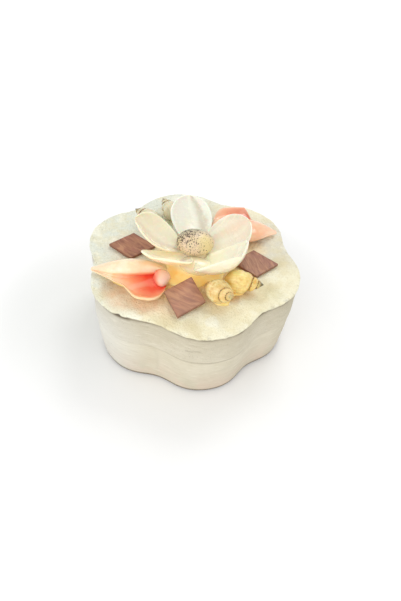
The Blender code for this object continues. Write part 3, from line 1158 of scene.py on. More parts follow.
def rounded_profile(corners: Sequence[tuple[float, float, float]], step: float) -> Profile:
    """Profile with eased corners, cut into short steps.

    Args:
        corners: Radius, height and corner radius of each corner, in metres.
        step: Longest piece of a straight stretch.

    Returns:
        Radius and height of each point.
    """
    eased: list[np.ndarray] = []
    spots = [np.array(corner[:2]) for corner in corners]
    for index, (spot, corner) in enumerate(zip(spots, corners)):
        radius = corner[2]
        if radius == 0 or index in (0, len(corners) - 1):
            eased.append(spot)
            continue
        back = spots[index - 1] - spot
        ahead = spots[index + 1] - spot
        start = spot + back / np.linalg.norm(back) * min(radius, 0.45 * np.linalg.norm(back))
        end = spot + ahead / np.linalg.norm(ahead) * min(radius, 0.45 * np.linalg.norm(ahead))
        for share in np.linspace(0, 1, 5):
            eased.append((1 - share) ** 2 * start + 2 * share * (1 - share) * spot + share ** 2 * end)
    result = [eased[0]]
    for before, after in zip(eased, eased[1:]):
        pieces = max(1, ceil(np.linalg.norm(after - before) / step))
        result += [before + (after - before) * number / pieces for number in range(1, pieces + 1)]
    return [(float(radius), float(height)) for radius, height in result]


class LobedTurning:
    """Turns a profile about the axis and pushes it out into lobes with geometry nodes."""

    def __init__(self) -> None:
        """Lay out the tree once for all lobed pieces."""
        bench = FormBench("lobed_turning")
        profile = bench.source.outputs["Geometry"]
        steps, lobes = bench.size("Steps", "Int"), bench.size("Lobes", "Int")
        mean, swell = bench.size("Mean radius"), bench.size("Lobe swell")
        rounding = bench.size("Lobe rounding")
        count = bench.node("GeometryNodeAttributeDomainSize", {"component": "MESH"}, Geometry=profile)
        rows = count.outputs["Point Count"]
        columns = bench.sum("ADD", steps, 1.0)
        grid = bench.node("GeometryNodeMeshGrid", Size_X=1.0, Size_Y=1.0, Vertices_X=columns, Vertices_Y=rows)
        split = bench.node("ShaderNodeSeparateXYZ",
                           Vector=bench.node("GeometryNodeInputPosition").outputs[0])
        angle = bench.times(bench.sum("ADD", split.outputs["X"], 0.5), 2 * pi)
        last = bench.sum("SUBTRACT", rows, 1.0)
        spot = bench.times(bench.sum("ADD", split.outputs["Y"], 0.5), last)
        sample = bench.node("GeometryNodeSampleIndex", {"data_type": "FLOAT_VECTOR", "domain": "POINT"})
        bench.feed(sample.inputs[0], profile)
        bench.feed(sample.inputs[1], bench.node("GeometryNodeInputPosition").outputs[0])
        bench.feed(sample.inputs[2], bench.sum("ROUND", spot))
        drawn = bench.node("ShaderNodeSeparateXYZ", Vector=sample.outputs[0])
        turn = bench.times(bench.sum("ADD", angle, pi / 2), lobes)
        bulge = bench.times(swell, bench.sum("COSINE", turn))
        crown = bench.times(rounding, bench.sum("COSINE", bench.times(turn, 2.0)))
        factor = bench.sum("ADD", bench.sum("DIVIDE", bench.sum("SUBTRACT", bulge, crown), mean), 1.0)
        reach = bench.times(drawn.outputs["X"], factor)
        place = bench.node("ShaderNodeCombineXYZ", X=bench.times(reach, bench.sum("COSINE", angle)),
                           Y=bench.times(reach, bench.sum("SINE", angle)), Z=drawn.outputs["Z"])
        formed = bench.node("GeometryNodeSetPosition", Geometry=grid.outputs["Mesh"],
                            Position=place.outputs[0])
        merged = bench.node("GeometryNodeMergeByDistance", Geometry=formed.outputs[0], Distance=WELD)
        bench.close(merged.outputs[0])
        self.bench = bench

    def make(self, name: str, profile: Sequence[tuple[float, float]], steps: int,
             finish: Material) -> Piece:
        """Turn one profile.

        Args:
            name: Name of the piece.
            profile: Radius and height of each point, from axis to axis.
            steps: Steps around the axis.
            finish: Material of the piece.

        Returns:
            The lobed piece, closed and facing outwards.
        """
        line = bpy.data.meshes.new(name)
        line.from_pydata([(radius, 0.0, height) for radius, height in profile],
                         [(index, index + 1) for index in range(len(profile) - 1)], [])
        piece = self.bench.make(name, line, {
            "Steps": steps, "Lobes": LOBE_COUNT, "Mean radius": OUTLINE_RADIUS, "Lobe swell": LOBE_SWELL,
            "Lobe rounding": LOBE_ROUNDING, "Finish": finish})
        outward(piece.data, WELD)
        piece.data.set_sharp_from_angle(angle=radians(50))
        return piece


@dataclass
class BoxBase:
    """Lower half of the box: tapering wall, shoulder, neck inside the lid's skirt, open cavity."""

    foot_radius: float = 0.04745
    foot_round: float = 0.0014
    shoulder_radius: float = 0.0492
    neck_outer: float = 0.0473
    neck_inner: float = 0.0455
    neck_top: float = 0.0370
    foot_wall: float = 0.0022
    floor: float = 0.0028
    steps: int = 696

    def profile(self) -> Profile:
        """Outline of the base from the middle of the underside to the middle of the floor.

        Returns:
            Radius and height of each point.
        """
        cavity = self.foot_radius - self.foot_wall
        return rounded_profile((
            (0, 0, 0), (self.foot_radius - 0.0004, 0, self.foot_round),
            (self.foot_radius, 0.0035, 0.002), (0.0485, SEAM_HEIGHT * 0.5, 0.004),
            (self.shoulder_radius, SEAM_HEIGHT, 0.0005), (self.neck_outer, SEAM_HEIGHT, 0),
            (self.neck_outer, self.neck_top, 0.0004), (self.neck_inner, self.neck_top, 0.0003),
            (self.neck_inner, SEAM_HEIGHT, 0.002), (cavity, self.floor, 0.0022), (0, self.floor, 0),
        ), 0.0008)

    def build(self, turning: LobedTurning, finish: Material) -> Piece:
        """Turn the base, make its wall uneven and cut the scratches.

        Args:
            turning: Tree that turns the profile.
            finish: Coat of the wall.

        Returns:
            The base.
        """
        profile = thin_out(self.profile(), self.floor + 0.0001, 0.004)
        piece = turning.make("base_plaster", profile, self.steps, finish)
        points = points_of(piece.data)
        radius = np.hypot(points[:, 0], points[:, 1])
        angle = np.arctan2(points[:, 1], points[:, 0])
        mean = radius / lobe_factor(angle)
        outer = (mean > self.neck_outer + 0.0001) & (points[:, 2] < SEAM_HEIGHT + 0.0002)
        wall = rise(points[:, 2], 0.0003, 0.004) * outer
        push = np.where(outer, wall_relief(points) * wall, 0.0)
        marks = np.zeros(len(points))
        for scratch in SCRATCHES:
            cut = scratch.strength(np.degrees(angle), points[:, 2] * 1000) * outer
            push -= scratch.depth * cut
            marks = np.maximum(marks, scratch.shade * cut)
        points[:, :2] *= (1 + push / np.maximum(radius, 0.001))[:, None]
        # Painted shadow: the wall darkens unevenly over its lowest 4 mm, and a dark contact shadow runs along
        # the foot.
        foot = rise(points[:, 2], 0.0040, 0.0004) * outer
        marks = np.maximum(marks, 0.22 * foot * (0.6 + 0.4 * np.clip(grain(points, 0.006, 5.0), -1, 1)))
        contact = rise(points[:, 2], 0.0025, 0.0011) * (mean > self.foot_radius - 0.004)
        marks = np.maximum(marks, 0.90 * contact)
        seam = np.exp(-((points[:, 2] - SEAM_HEIGHT) / 0.0005) ** 2) * outer
        marks = np.maximum(marks, 0.35 * seam * rise(np.abs(np.degrees(angle) + 93), 34, 12))
        move_points(piece.data, points)
        note(piece.data, "mark", marks)
        return settle(piece, "plaster", "box_base")


def thin_out(profile: Profile, level: float, step: float) -> Profile:
    """Thin the points of a profile's floor.

    Args:
        profile: Radius and height of each point.
        level: Height below which level stretches are thinned.
        step: Points closer than this are dropped.

    Returns:
        The points that are kept.
    """
    kept = [profile[0]]
    for before, spot, after in zip(profile, profile[1:], profile[2:]):
        flat = abs(before[1] - spot[1]) < 1e-7 and abs(after[1] - spot[1]) < 1e-7
        if not (flat and spot[1] < level and abs(spot[0] - kept[-1][0]) < step):
            kept.append(spot)
    return kept + [profile[-1]]


@dataclass(frozen=True)
class Dip:
    """Shallow dent in the lid, or a bump where its depth is negative, in millimetres."""

    across: float
    deep: float
    radius: float
    depth: float


@dataclass(frozen=True)
class Chip:
    """Chip in the lid's edge, or a flare where its depth is negative: degrees and metres."""

    bearing: float
    width: float
    depth: float


@dataclass
class Lid:
    """Lid: a hand-cut top sheet with a rough edge over a skirt, hollow underneath."""

    edge_radius: float = 0.0500
    edge: float = 0.0012
    skirt_outer: float = 0.0495
    skirt_inner: float = 0.0477
    underside: float = 0.0408
    steps: int = 720
    dips: tuple[Dip, ...] = (
        Dip(-19.4, -38.7, 5.5, 0.65), Dip(-8.6, -43.5, 4.5, 0.55), Dip(31.5, -25.4, 3.4, 0.85),
        Dip(26.1, -31.4, 3.6, 0.70), Dip(27.6, -21.4, 2.2, -0.50), Dip(-0.9, -43.4, 3.0, -0.45),
        Dip(14.0, -38.0, 3.2, 0.40), Dip(19.5, -40.5, 2.6, -0.35), Dip(-37.0, -22.0, 6.0, 0.35),
        Dip(24.0, -36.0, 5.0, 0.25), Dip(8.0, -40.0, 4.5, 0.20), Dip(40.0, -10.0, 5.0, 0.30),
    )
    chips: tuple[Chip, ...] = (
        Chip(-139.5, 1.6, 0.0010), Chip(-134, 3.0, 0.0004), Chip(-60, 1.5, 0.0004), Chip(-101, 1.2, 0.0003),
        Chip(-178, 24, -0.0007),
    )
    mean_drop: float = 0.00022

    def profile(self) -> Profile:
        """Outline of the lid from the middle of the top to the middle of its underside.

        Returns:
            Radius and height of each point.
        """
        top = rounded_profile(((0, BOX_HEIGHT, 0), (self.edge_radius, BOX_HEIGHT, 0.00045),
                               (self.edge_radius, BOX_HEIGHT - self.edge, 0.0003),
                               (self.skirt_outer - 0.0001, BOX_HEIGHT - self.edge - 0.0006, 0.0002),
                               (self.skirt_outer, BOX_HEIGHT - self.edge - 0.0018, 0)), 0.0010)
        skirt = rounded_profile(((self.skirt_outer, BOX_HEIGHT - self.edge - 0.0018, 0),
                                 (self.skirt_outer, SEAM_HEIGHT + 0.00015, 0.0005),
                                 (self.skirt_inner, SEAM_HEIGHT + 0.0003, 0.0003),
                                 (self.skirt_inner, SEAM_HEIGHT + 0.001, 0)), 0.0007)
        inside = rounded_profile(((self.skirt_inner, SEAM_HEIGHT + 0.001, 0),
                                  (self.skirt_inner, self.underside, 0.0012), (0, self.underside, 0)), 0.004)
        return top + skirt[1:] + inside[1:]

    def build(self, turning: LobedTurning, finish: Material) -> Piece:
        """Turn the lid, dent its top, roughen its edge and cut the scratches.

        Args:
            turning: Tree that turns the profile.
            finish: Coat of the lid.

        Returns:
            The lid.
        """
        piece = turning.make("lid_plaster", self.profile(), self.steps, finish)
        points = points_of(piece.data)
        radius = np.hypot(points[:, 0], points[:, 1])
        angle = np.arctan2(points[:, 1], points[:, 0])
        bearing = np.degrees(angle)
        mean = radius / lobe_factor(angle)
        height = points[:, 2].copy()
        top = (height > BOX_HEIGHT - 0.0003) & (mean <= self.edge_radius)
        waves = 0.00042 * grain(points, 0.012, 1.0, 3) + 0.00014 * grain(points, 0.0034, 6.0, 3)
        waves -= self.mean_drop
        for dip in self.dips:
            far = np.hypot(points[:, 0] * 1000 - dip.across, points[:, 1] * 1000 - dip.deep)
            waves -= dip.depth * MM * np.exp(-(far / dip.radius) ** 2)
        edge = rise(mean, 0.0492, 0.0498) * (height > BOX_HEIGHT - self.edge - 0.0004)
        # The lump trait also drives painted shade and highlight in the top's color.
        note(piece.data, "lump", np.clip((waves + self.mean_drop) / 0.0006, -1, 1))
        points[:, 2] += np.where(top, np.minimum(waves, 0.00018), 0.0)
        points[:, 2] += np.where(edge > 0, np.minimum(waves, 0.0001) * (height < BOX_HEIGHT - 0.0003), 0.0)
        rough = 0.00022 * grain(points, 0.0040, 2.0, 3) + 0.00014 * grain(points, 0.0014, 4.0, 2)
        for chip in self.chips:
            rough -= chip.depth * np.exp(-((bearing - chip.bearing) / chip.width) ** 2)
        outer = (mean > self.skirt_outer - 0.0008) & ~top
        wall = outer * (1 - edge) * rise(height, SEAM_HEIGHT - 0.001, SEAM_HEIGHT + 0.002)
        push = edge * rough + (wall + 0.6 * edge) * wall_relief(points)
        marks = np.zeros(len(points))
        for scratch in SCRATCHES:
            cut = scratch.strength(bearing, height * 1000) * outer * (1 - edge)
            push -= scratch.depth * cut
            marks = np.maximum(marks, scratch.shade * cut)
        points[:, :2] *= (1 + push / np.maximum(radius, 0.001))[:, None]
        # Painted shadow: an uneven dark line on the skirt just under the overhang of the top sheet.
        uneven = 0.75 + 0.5 * np.clip(grain(points, 0.007, 15.0), -0.5, 0.5)
        under = np.exp(-((height - (BOX_HEIGHT - self.edge - 0.0008)) / 0.00095) ** 2) * outer
        marks = np.maximum(marks, 0.90 * under * uneven)
        marks = np.maximum(marks, 0.28 * edge * rise(grain(points, 0.0025, 12.0), 0.15, 0.6))
        move_points(piece.data, points)
        note(piece.data, "mark", marks)
        note(piece.data, "top", np.maximum(top, edge * (height > BOX_HEIGHT - self.edge)).astype(float))
        return settle(piece, "plaster", "lid")


# ---------- glue

@dataclass
class GlueBed:
    """Amber glue that holds the flower, with tongues that ran out between the petals."""

    radius: float = 0.0158
    thickness: float = 0.0016
    tongues: tuple[tuple[float, float, float], ...] = (
        (-126, 0.0078, 17), (-97, 0.0066, 15), (-64, 0.0062, 14), (-32, 0.0056, 14), (12, 0.0030, 14),
        (100, 0.0012, 20),
    )

    def reach(self, angle: np.ndarray) -> np.ndarray:
        """How far the glue runs out.

        Args:
            angle: Bearing of each point.

        Returns:
            Radius at each point.
        """
        far = self.radius * (1 + 0.03 * np.sin(3 * angle + 0.6) + 0.02 * np.sin(7 * angle))
        for bearing, extra, width in self.tongues:
            gap = (np.degrees(angle) - bearing + 180) % 360 - 180
            far = far + extra * np.exp(-(gap / width) ** 2)
        return far

    def build(self, finish: Material) -> Piece:
        """Make the mound of glue on the lid.

        Args:
            finish: Material of the glue.

        Returns:
            The mound.
        """
        rings, steps = 26, 160
        angle = np.linspace(-pi, pi, steps, endpoint=False)
        far = self.reach(angle)
        share = np.linspace(0, 1, rings)[1:]
        low = BOX_HEIGHT - 0.0001
        rows = [np.stack([far * s * np.cos(angle), far * s * np.sin(angle),
                          np.full(steps, low + (self.thickness + DECK - low) * (1 - s ** 2.6) ** 0.8)], -1)
                for s in share]
        points = np.concatenate([[[0, 0, low + self.thickness + DECK - low]], *rows, [[0, 0, low]]])
        lumps = 0.00018 * grain(points, 0.004, 7.0, 2)
        inside = np.concatenate([[1.0], np.repeat(1 - share ** 4, steps), [0.0]])
        points[:, 2] += lumps * inside
        piece = new_piece("glue_mound", points, dome_faces(len(share), steps), finish)
        outward(piece.data)
        note(piece.data, "depth", inside)
        return settle(piece, "glue", "glue_bed")


@dataclass(frozen=True)
class GlueSpot:
    """Blob of glue under one shell: middle and half sizes in millimetres, turn, height in metres."""

    across: float
    deep: float
    long: float
    wide: float
    turn: float
    height: float


@dataclass
class GlueSpots:
    """Blobs of glue that squeezed out from under the shells around the flower."""

    shade: float = 0.7
    spots: tuple[GlueSpot, ...] = (
        GlueSpot(-28.5, 8.7, 7.0, 5.6, 170, 0.0005), GlueSpot(-9.6, -30.4, 6.8, 5.4, 244, 0.0005),
        GlueSpot(27.9, -10.7, 7.0, 5.6, 349, 0.0005), GlueSpot(6.6, 32.3, 5.6, 4.6, 55, 0.0005),
        GlueSpot(6.6, -29.0, 6.4, 4.6, 300, 0.0006), GlueSpot(13.0, -25.6, 6.0, 3.6, 343, 0.0006),
        GlueSpot(-17.5, 24.5, 6.2, 4.4, 137, 0.0008), GlueSpot(-6.3, 29.5, 6.2, 4.4, 112, 0.0008),
        GlueSpot(-29.0, -13.0, 12.0, 6.4, 345, 0.0008), GlueSpot(28.0, 14.5, 11.0, 6.0, 167, 0.0008),
    )

    def build(self, finish: Material) -> Piece:
        """Make all blobs as one piece of closed low domes.

        Args:
            finish: Material of the glue.

        Returns:
            The piece.
        """
        steps, rings = 40, 7
        low = BOX_HEIGHT - 0.0002
        angle = np.linspace(0, 2 * pi, steps, endpoint=False)
        points: list[np.ndarray] = []
        faces: Faces = []
        for number, spot in enumerate(self.spots):
            start = sum(len(part) for part in points)
            wave = 1 + 0.07 * np.sin(3 * angle + number) + 0.05 * np.sin(5 * angle + 2 * number)
            turn = radians(spot.turn)
            across, deep = spot.across * MM, spot.deep * MM
            rows = [np.array([[across, deep, low + spot.height]])]
            for ring in range(1, rings + 1):
                share = ring / rings
                x = spot.long * MM * share * np.cos(angle) * wave
                y = spot.wide * MM * share * np.sin(angle) * wave
                level = low + spot.height * sqrt(max(0.0, 1 - share ** 3))
                rows.append(np.stack([across + x * cos(turn) - y * sin(turn),
                                      deep + x * sin(turn) + y * cos(turn),
                                      np.full(steps, level)], -1))
            rows.append(np.array([[across, deep, low]]))
            faces += dome_faces(rings, steps, start)
            points.append(np.concatenate(rows))
        piece = new_piece("glue_spots", np.concatenate(points), faces, finish)
        outward(piece.data)
        note(piece.data, "depth", np.full(len(piece.data.vertices), self.shade))
        return settle(piece, "glue")


@dataclass
class RootFill:
    """Pale filler between the roots of the two front petals: middle, half sizes and turn."""

    middle: tuple[float, float, float] = (-0.0010, -0.0108, 0.0459)
    half: tuple[float, float, float] = (0.0080, 0.0054, 0.0033)
    turn: float = -24.0

    def build(self, finish: Material) -> Piece:
        """Make an uneven rounded mound.

        Args:
            finish: Material of the filler.

        Returns:
            The mound.
        """
        builder = bmesh.new()
        bmesh.ops.create_uvsphere(builder, u_segments=64, v_segments=40, radius=1.0)
        for vert in builder.verts:
            swell = 1 + 0.04 * noise.fractal(vert.co * 1.4, 1.0, 2.0, 2)
            vert.co = Vector([vert.co[axis] * self.half[axis] * swell for axis in range(3)])
        place = Matrix.Translation(self.middle) @ Matrix.Rotation(radians(self.turn), 4, "Z")
        bmesh.ops.transform(builder, matrix=place, verts=builder.verts)
        piece = built_piece("root_fill", builder, finish)
        outward(piece.data)
        return settle(piece, "glue")


# ---------- flower

@dataclass
class Petal:
    """One cupped half shell of the flower."""

    name: str
    bearing: float
    root_slope: float
    tip_slope: float
    length: float
    width: float
    cup: float
    roll: float
    root_shift: float
    root_lift: float
    finish: PearlFinish
    far_side: float = 0.0
    near_cup: float = 0.0
    wall: float = 0.0010
    root_radius: float = 0.0030
    rows: int = 64
    columns: int = 48

    @staticmethod
    def half_width(along: np.ndarray) -> np.ndarray:
        """Outline of the petal: narrow root, round tip.

        Args:
            along: From 0 at the root to 1 at the tip.

        Returns:
            Half width as a ratio of the widest.
        """
        share = 0.03 + 0.97 * along
        widest = 0.75 / 1.25
        return share ** 0.75 * np.sqrt(np.clip(1 - share, 0, 1)) / (widest ** 0.75 * sqrt(1 - widest))

    def inner_face(self, along: np.ndarray, across: np.ndarray) -> np.ndarray:
        """Points of the hollow side.

        Args:
            along: From 0 at the root to 1 at the tip.
            across: From -1 to 1.

        Returns:
            One point for each pair.
        """
        start, end = radians(self.root_slope), radians(self.tip_slope)
        slope = start + (end - start) * along
        bend = self.length / (end - start)
        reach = self.root_radius + self.root_shift + bend * (np.sin(slope) - sin(start))
        height = PETAL_FLOOR + self.root_lift + bend * (cos(start) - np.cos(slope))
        half = self.half_width(along)
        bearing, roll = radians(self.bearing), radians(self.roll)
        out = np.array([cos(bearing), sin(bearing), 0.0])
        side_flat = np.array([-sin(bearing), cos(bearing), 0.0])
        up = np.cos(slope)[..., None] * np.array([0, 0, 1.0]) - np.sin(slope)[..., None] * out
        side = side_flat * cos(roll) + up * sin(roll)
        lift = up * cos(roll) - side_flat * sin(roll)
        middle = out * reach[..., None] + np.array([0, 0, 1.0]) * height[..., None]
        cup = self.cup + np.where(across < 0, self.near_cup, 0.0)
        across = np.where(across > 0, across * (1 + self.far_side), across)
        return (middle + side * (self.width / 2 * half * across)[..., None]
                + lift * (cup * half * across ** 2)[..., None])

    def build(self) -> Piece:
        """Make both faces of the shell, joined in a rounded rim.

        Returns:
            The petal.
        """
        along = np.sin(pi / 2 * np.linspace(0, 1, self.rows))
        along = np.clip(along, 0, 1 - 1e-5)
        across = np.sin(pi / 2 * np.linspace(-1, 1, self.columns))
        grid_along, grid_across = np.meshgrid(along, across, indexing="ij")
        face = self.inner_face(grid_along, grid_across)
        step = 1e-4
        ahead = self.inner_face(np.clip(grid_along - step, 0, 1), grid_across)
        beside = self.inner_face(grid_along, grid_across + step)
        normal = np.cross(beside - face, face - ahead)
        normal[0] = normal[1]
        normal /= np.linalg.norm(normal, axis=-1)[..., None] + 1e-12
        flip = np.sign(normal[self.rows // 2, self.columns // 2, 2])
        normal *= flip
        half = self.half_width(grid_along)
        side_gap = self.width / 2 * half * (1 - np.abs(grid_across))
        tip_gap = self.length * (1 - grid_along) + 0.25 * self.width * (1 - half) * grid_along ** 2
        root_gap = self.length * grid_along
        gap = np.minimum(np.minimum(side_gap, tip_gap), root_gap)
        ease = np.sqrt(np.clip(1 - (1 - np.clip(gap / (0.7 * self.wall), 0, 1)) ** 2, 0, 1))
        growth = np.sqrt(grid_along ** 2 + (0.30 * grid_across) ** 2 * grid_along)
        flat = face.reshape(-1, 3)
        lumps = (0.00016 * grain(flat, 0.006, float(self.bearing), 2)).reshape(gap.shape)
        ridges = 0.00003 * np.sin(growth * 120) * rise(gap, 0.0, 0.002)
        rim = 0.00022 * np.exp(-(gap / 0.0011) ** 2)
        middle = face - normal * (self.wall / 2)
        thick = self.wall / 2 * ease
        inside = middle + normal * (thick + (lumps * rise(gap, 0.0, 0.003)) + rim * ease)[..., None]
        outside = middle - normal * (thick + ridges - lumps * rise(gap, 0.0, 0.003) + rim * ease)[..., None]
        points = np.concatenate([inside.reshape(-1, 3), outside.reshape(-1, 3)])
        count = self.rows * self.columns
        faces = []
        for row in range(self.rows - 1):
            for column in range(self.columns - 1):
                here = row * self.columns + column
                faces.append((here, here + 1, here + 1 + self.columns, here + self.columns))
                here += count
                faces.append((here, here + self.columns, here + 1 + self.columns, here + 1))
        piece = new_piece(self.name + "_shell", points, faces, self.finish.material())
        traits = {
            "along": np.tile(grid_along.reshape(-1), 2), "across": np.tile(grid_across.reshape(-1), 2),
            "growth": np.tile(growth.reshape(-1), 2), "rim": np.tile(gap.reshape(-1) * 1000, 2),
            "face": np.concatenate([np.zeros(count), np.ones(count)]),
        }
        for key, values in traits.items():
            note(piece.data, key, values)
        outward(piece.data, 2e-6)
        return settle(piece, "pearl", self.name)


@dataclass
class CenterShell:
    """Speckled domed shell in the middle of the flower."""

    length: float = 0.0178
    width: float = 0.0150
    height: float = 0.0109
    flat_share: float = 0.86
    narrowing: float = 0.6
    shift: tuple[float, float] = (0.0002, -0.0011)
    turn: float = -12.0
    rest: float = PETAL_FLOOR + 0.0003

    def build(self, finish: Material) -> Piece:
        """Make the dome from a fine sphere, with faint dents.

        Args:
            finish: Material of the dome.

        Returns:
            The dome.
        """
        builder = bmesh.new()
        bmesh.ops.create_uvsphere(builder, u_segments=96, v_segments=64, radius=0.5)
        middle = self.rest + self.height * self.flat_share / (1 + self.flat_share)
        for vert in builder.verts:
            level = max(vert.co.z * 2, -self.flat_share)
            waist = 1 - self.narrowing * max(0.0, -level) ** 3
            dent = 1 + 0.012 * noise.fractal(vert.co * 4, 1.0, 2.0, 2)
            vert.co.y *= self.width * (1 - 0.12 * vert.co.x) * waist * dent
            vert.co.x *= self.length * waist * dent
            vert.co.z = middle + level * self.height * dent / (1 + self.flat_share)
        place = Matrix.Translation((*self.shift, 0)) @ Matrix.Rotation(radians(self.turn), 4, "Z")
        bmesh.ops.transform(builder, matrix=place, verts=builder.verts)
        piece = built_piece("center_dome", builder, finish)
        outward(piece.data)
        return settle(piece, "speckle", "center_shell")


PETALS = (
    Petal("petal_back", 85, 8, 38, 0.0288, 0.0210, 0.0022, 10, 0.0, 0.0,
          PearlFinish("pearl_back", tone(236, 234, 218), tone(246, 240, 214), tone(198, 192, 170),
                      tone(252, 251, 238), tone(214, 210, 192), tone(255, 253, 238),
                      -60.0, 0.65, 0.98, 0.85)),
    Petal("petal_left", 169, 13, 58, 0.0280, 0.0180, 0.0042, -8, 0.0022, 0.0006,
          PearlFinish("pearl_left", tone(244, 236, 208), tone(252, 244, 214), tone(228, 218, 190),
                      tone(252, 244, 212), tone(236, 222, 194), tone(255, 240, 214), 62.0, 0.7, 0.62, 0.7)),
    Petal("petal_front_left", 221, 8, 51, 0.0286, 0.0226, 0.0028, 12, 0.0020, 0.0,
          PearlFinish("pearl_front_left", tone(255, 246, 216), tone(255, 244, 208), tone(216, 202, 194),
                      tone(255, 252, 218), tone(240, 218, 178), tone(255, 250, 222), 90.0, 0.9, 0.60, 0.8,
                      glow=0.16)),
    Petal("petal_front_right", 296.9, -4.5, 78.2, 0.0320, 0.0266, 0.0047, 11, 0.0044, 0.0003,
          PearlFinish("pearl_front_right", tone(246, 241, 220), tone(252, 246, 216), tone(238, 236, 216),
                      tone(250, 246, 222), tone(240, 234, 208), tone(255, 251, 224), 20.0, 0.5, 0.8, 0.8),
          0.12, 0.0038),
    Petal("petal_right", 6, 3, 56, 0.0279, 0.0222, 0.0021, 9, 0.0, 0.0,
          PearlFinish("pearl_right", tone(240, 229, 206), tone(250, 243, 214), tone(246, 222, 196),
                      tone(248, 243, 228), tone(236, 230, 208), tone(250, 246, 226),
                      70.0, 0.6, 0.7, 0.8, 0.4)),
)


# ---------- tiles

@dataclass
class Tile:
    """Diamond tile of cut shell that lies on the lid."""

    name: str
    distance: float
    bearing: float
    turn: float
    lean: float
    grain_turn: float
    # Share of painted glare on the tile.
    light: float
    long: float = 0.0222
    short: float = 0.0188
    thickness: float = 0.0014
    bevel: float = 0.00016

    def build(self) -> Piece:
        """Make the tile with eased edges and a faintly warped face.

        Returns:
            The tile.
        """
        builder = bmesh.new()
        bmesh.ops.create_cube(builder, size=1.0)
        bmesh.ops.rotate(builder, verts=builder.verts, cent=(0, 0, 0),
                         matrix=Matrix.Rotation(pi / 4, 3, "Z"))
        size = (self.long / sqrt(2), self.short / sqrt(2), self.thickness)
        bmesh.ops.scale(builder, verts=builder.verts, vec=size)
        bmesh.ops.bevel(builder, geom=builder.edges[:], offset=self.bevel, segments=3, affect="EDGES",
                        profile=0.6)
        bmesh.ops.triangulate(builder, faces=[face for face in builder.faces if len(face.verts) > 4])
        sides = [edge for edge in builder.edges if edge.calc_length() > 0.004]
        bmesh.ops.subdivide_edges(builder, edges=sides, cuts=15, use_grid_fill=True)
        edge_values = []
        for vert in builder.verts:
            gap = 1 - abs(vert.co.x) / (self.long / 2) - abs(vert.co.y) / (self.short / 2)
            edge_values.append(1.0 - min(1.0, max(0.0, gap / 0.035)))
            vert.co.z += 0.00006 * noise.fractal(vert.co * 260, 1.0, 2.0, 2)
        bearing, turn, lean = (radians(angle) for angle in (self.bearing, self.turn, self.lean))
        lift = (self.long * sin(lean) + self.thickness * cos(lean)) / 2
        middle = (self.distance * cos(bearing), self.distance * sin(bearing), DECK + lift)
        place = Matrix.Translation(middle) @ Matrix.Rotation(turn, 4, "Z") @ Matrix.Rotation(lean, 4, "Y")
        bmesh.ops.transform(builder, matrix=place, verts=builder.verts)
        finish = NacreFinish(self.name + "_nacre", self.grain_turn, self.light).material()
        piece = built_piece(self.name + "_slab", builder, finish)
        note(piece.data, "edge", np.array(edge_values))
        piece.data.set_sharp_from_angle(angle=radians(30))
        outward(piece.data)
        return settle(piece, "nacre", self.name)


TILES = (
    Tile("tile_left", 0.0298, 163, 170, 0, 55, 0.0),
    Tile("tile_front", 0.0319, 252.4, 244.5, 10, 38, 0.20),
    Tile("tile_right", 0.0299, 339, 349, 0, 82, 0.0),
    Tile("tile_back", 0.0330, 78.4, 55, 0, 20, 0.0),
)


# ---------- snails

class BeadString:
    """Sets small beads along a line with geometry nodes."""

    def __init__(self) -> None:
        """Lay out the tree once for all snail shells."""
        bench = FormBench("bead_string")
        pitch, size = bench.size("Pitch"), bench.size("Bead radius")
        vary, seed = bench.size("Vary"), bench.size("Seed", "Int")
        curve = bench.node("GeometryNodeMeshToCurve", Mesh=bench.source.outputs["Geometry"])
        spots = bench.node("GeometryNodeCurveToPoints", {"mode": "LENGTH"}, Curve=curve.outputs[0],
                           Length=pitch)
        bead = bench.node("GeometryNodeMeshUVSphere", Segments=8, Rings=5, Radius=1.0)
        low = bench.times(size, bench.sum("SUBTRACT", 1.0, vary))
        high = bench.times(size, bench.sum("ADD", 1.0, vary))
        chance = bench.node("FunctionNodeRandomValue", {"data_type": "FLOAT"})
        bench.feed(chance.inputs[2], low)
        bench.feed(chance.inputs[3], high)
        bench.feed(chance.inputs["Seed"], seed)
        placed = bench.node("GeometryNodeInstanceOnPoints", Points=spots.outputs["Points"],
                            Instance=bead.outputs["Mesh"])
        bench.feed(placed.inputs["Scale"], chance.outputs[1])
        bench.close(placed.outputs[0])
        self.bench = bench

    def make(self, name: str, line: np.ndarray, pitch: float, size: float, seed: int,
             finish: Material) -> Piece:
        """String beads along a line.

        Args:
            name: Name of the piece.
            line: Points of the line.
            pitch: Distance between beads.
            size: Mean radius of a bead.
            seed: Seed of the bead sizes.
            finish: Material of the beads.

        Returns:
            The beads as one piece.
        """
        mesh = bpy.data.meshes.new(name)
        mesh.from_pydata([tuple(spot) for spot in line], [(i, i + 1) for i in range(len(line) - 1)], [])
        return self.bench.make(name, mesh, {"Pitch": pitch, "Bead radius": size, "Vary": 0.35, "Seed": seed,
                                            "Finish": finish})


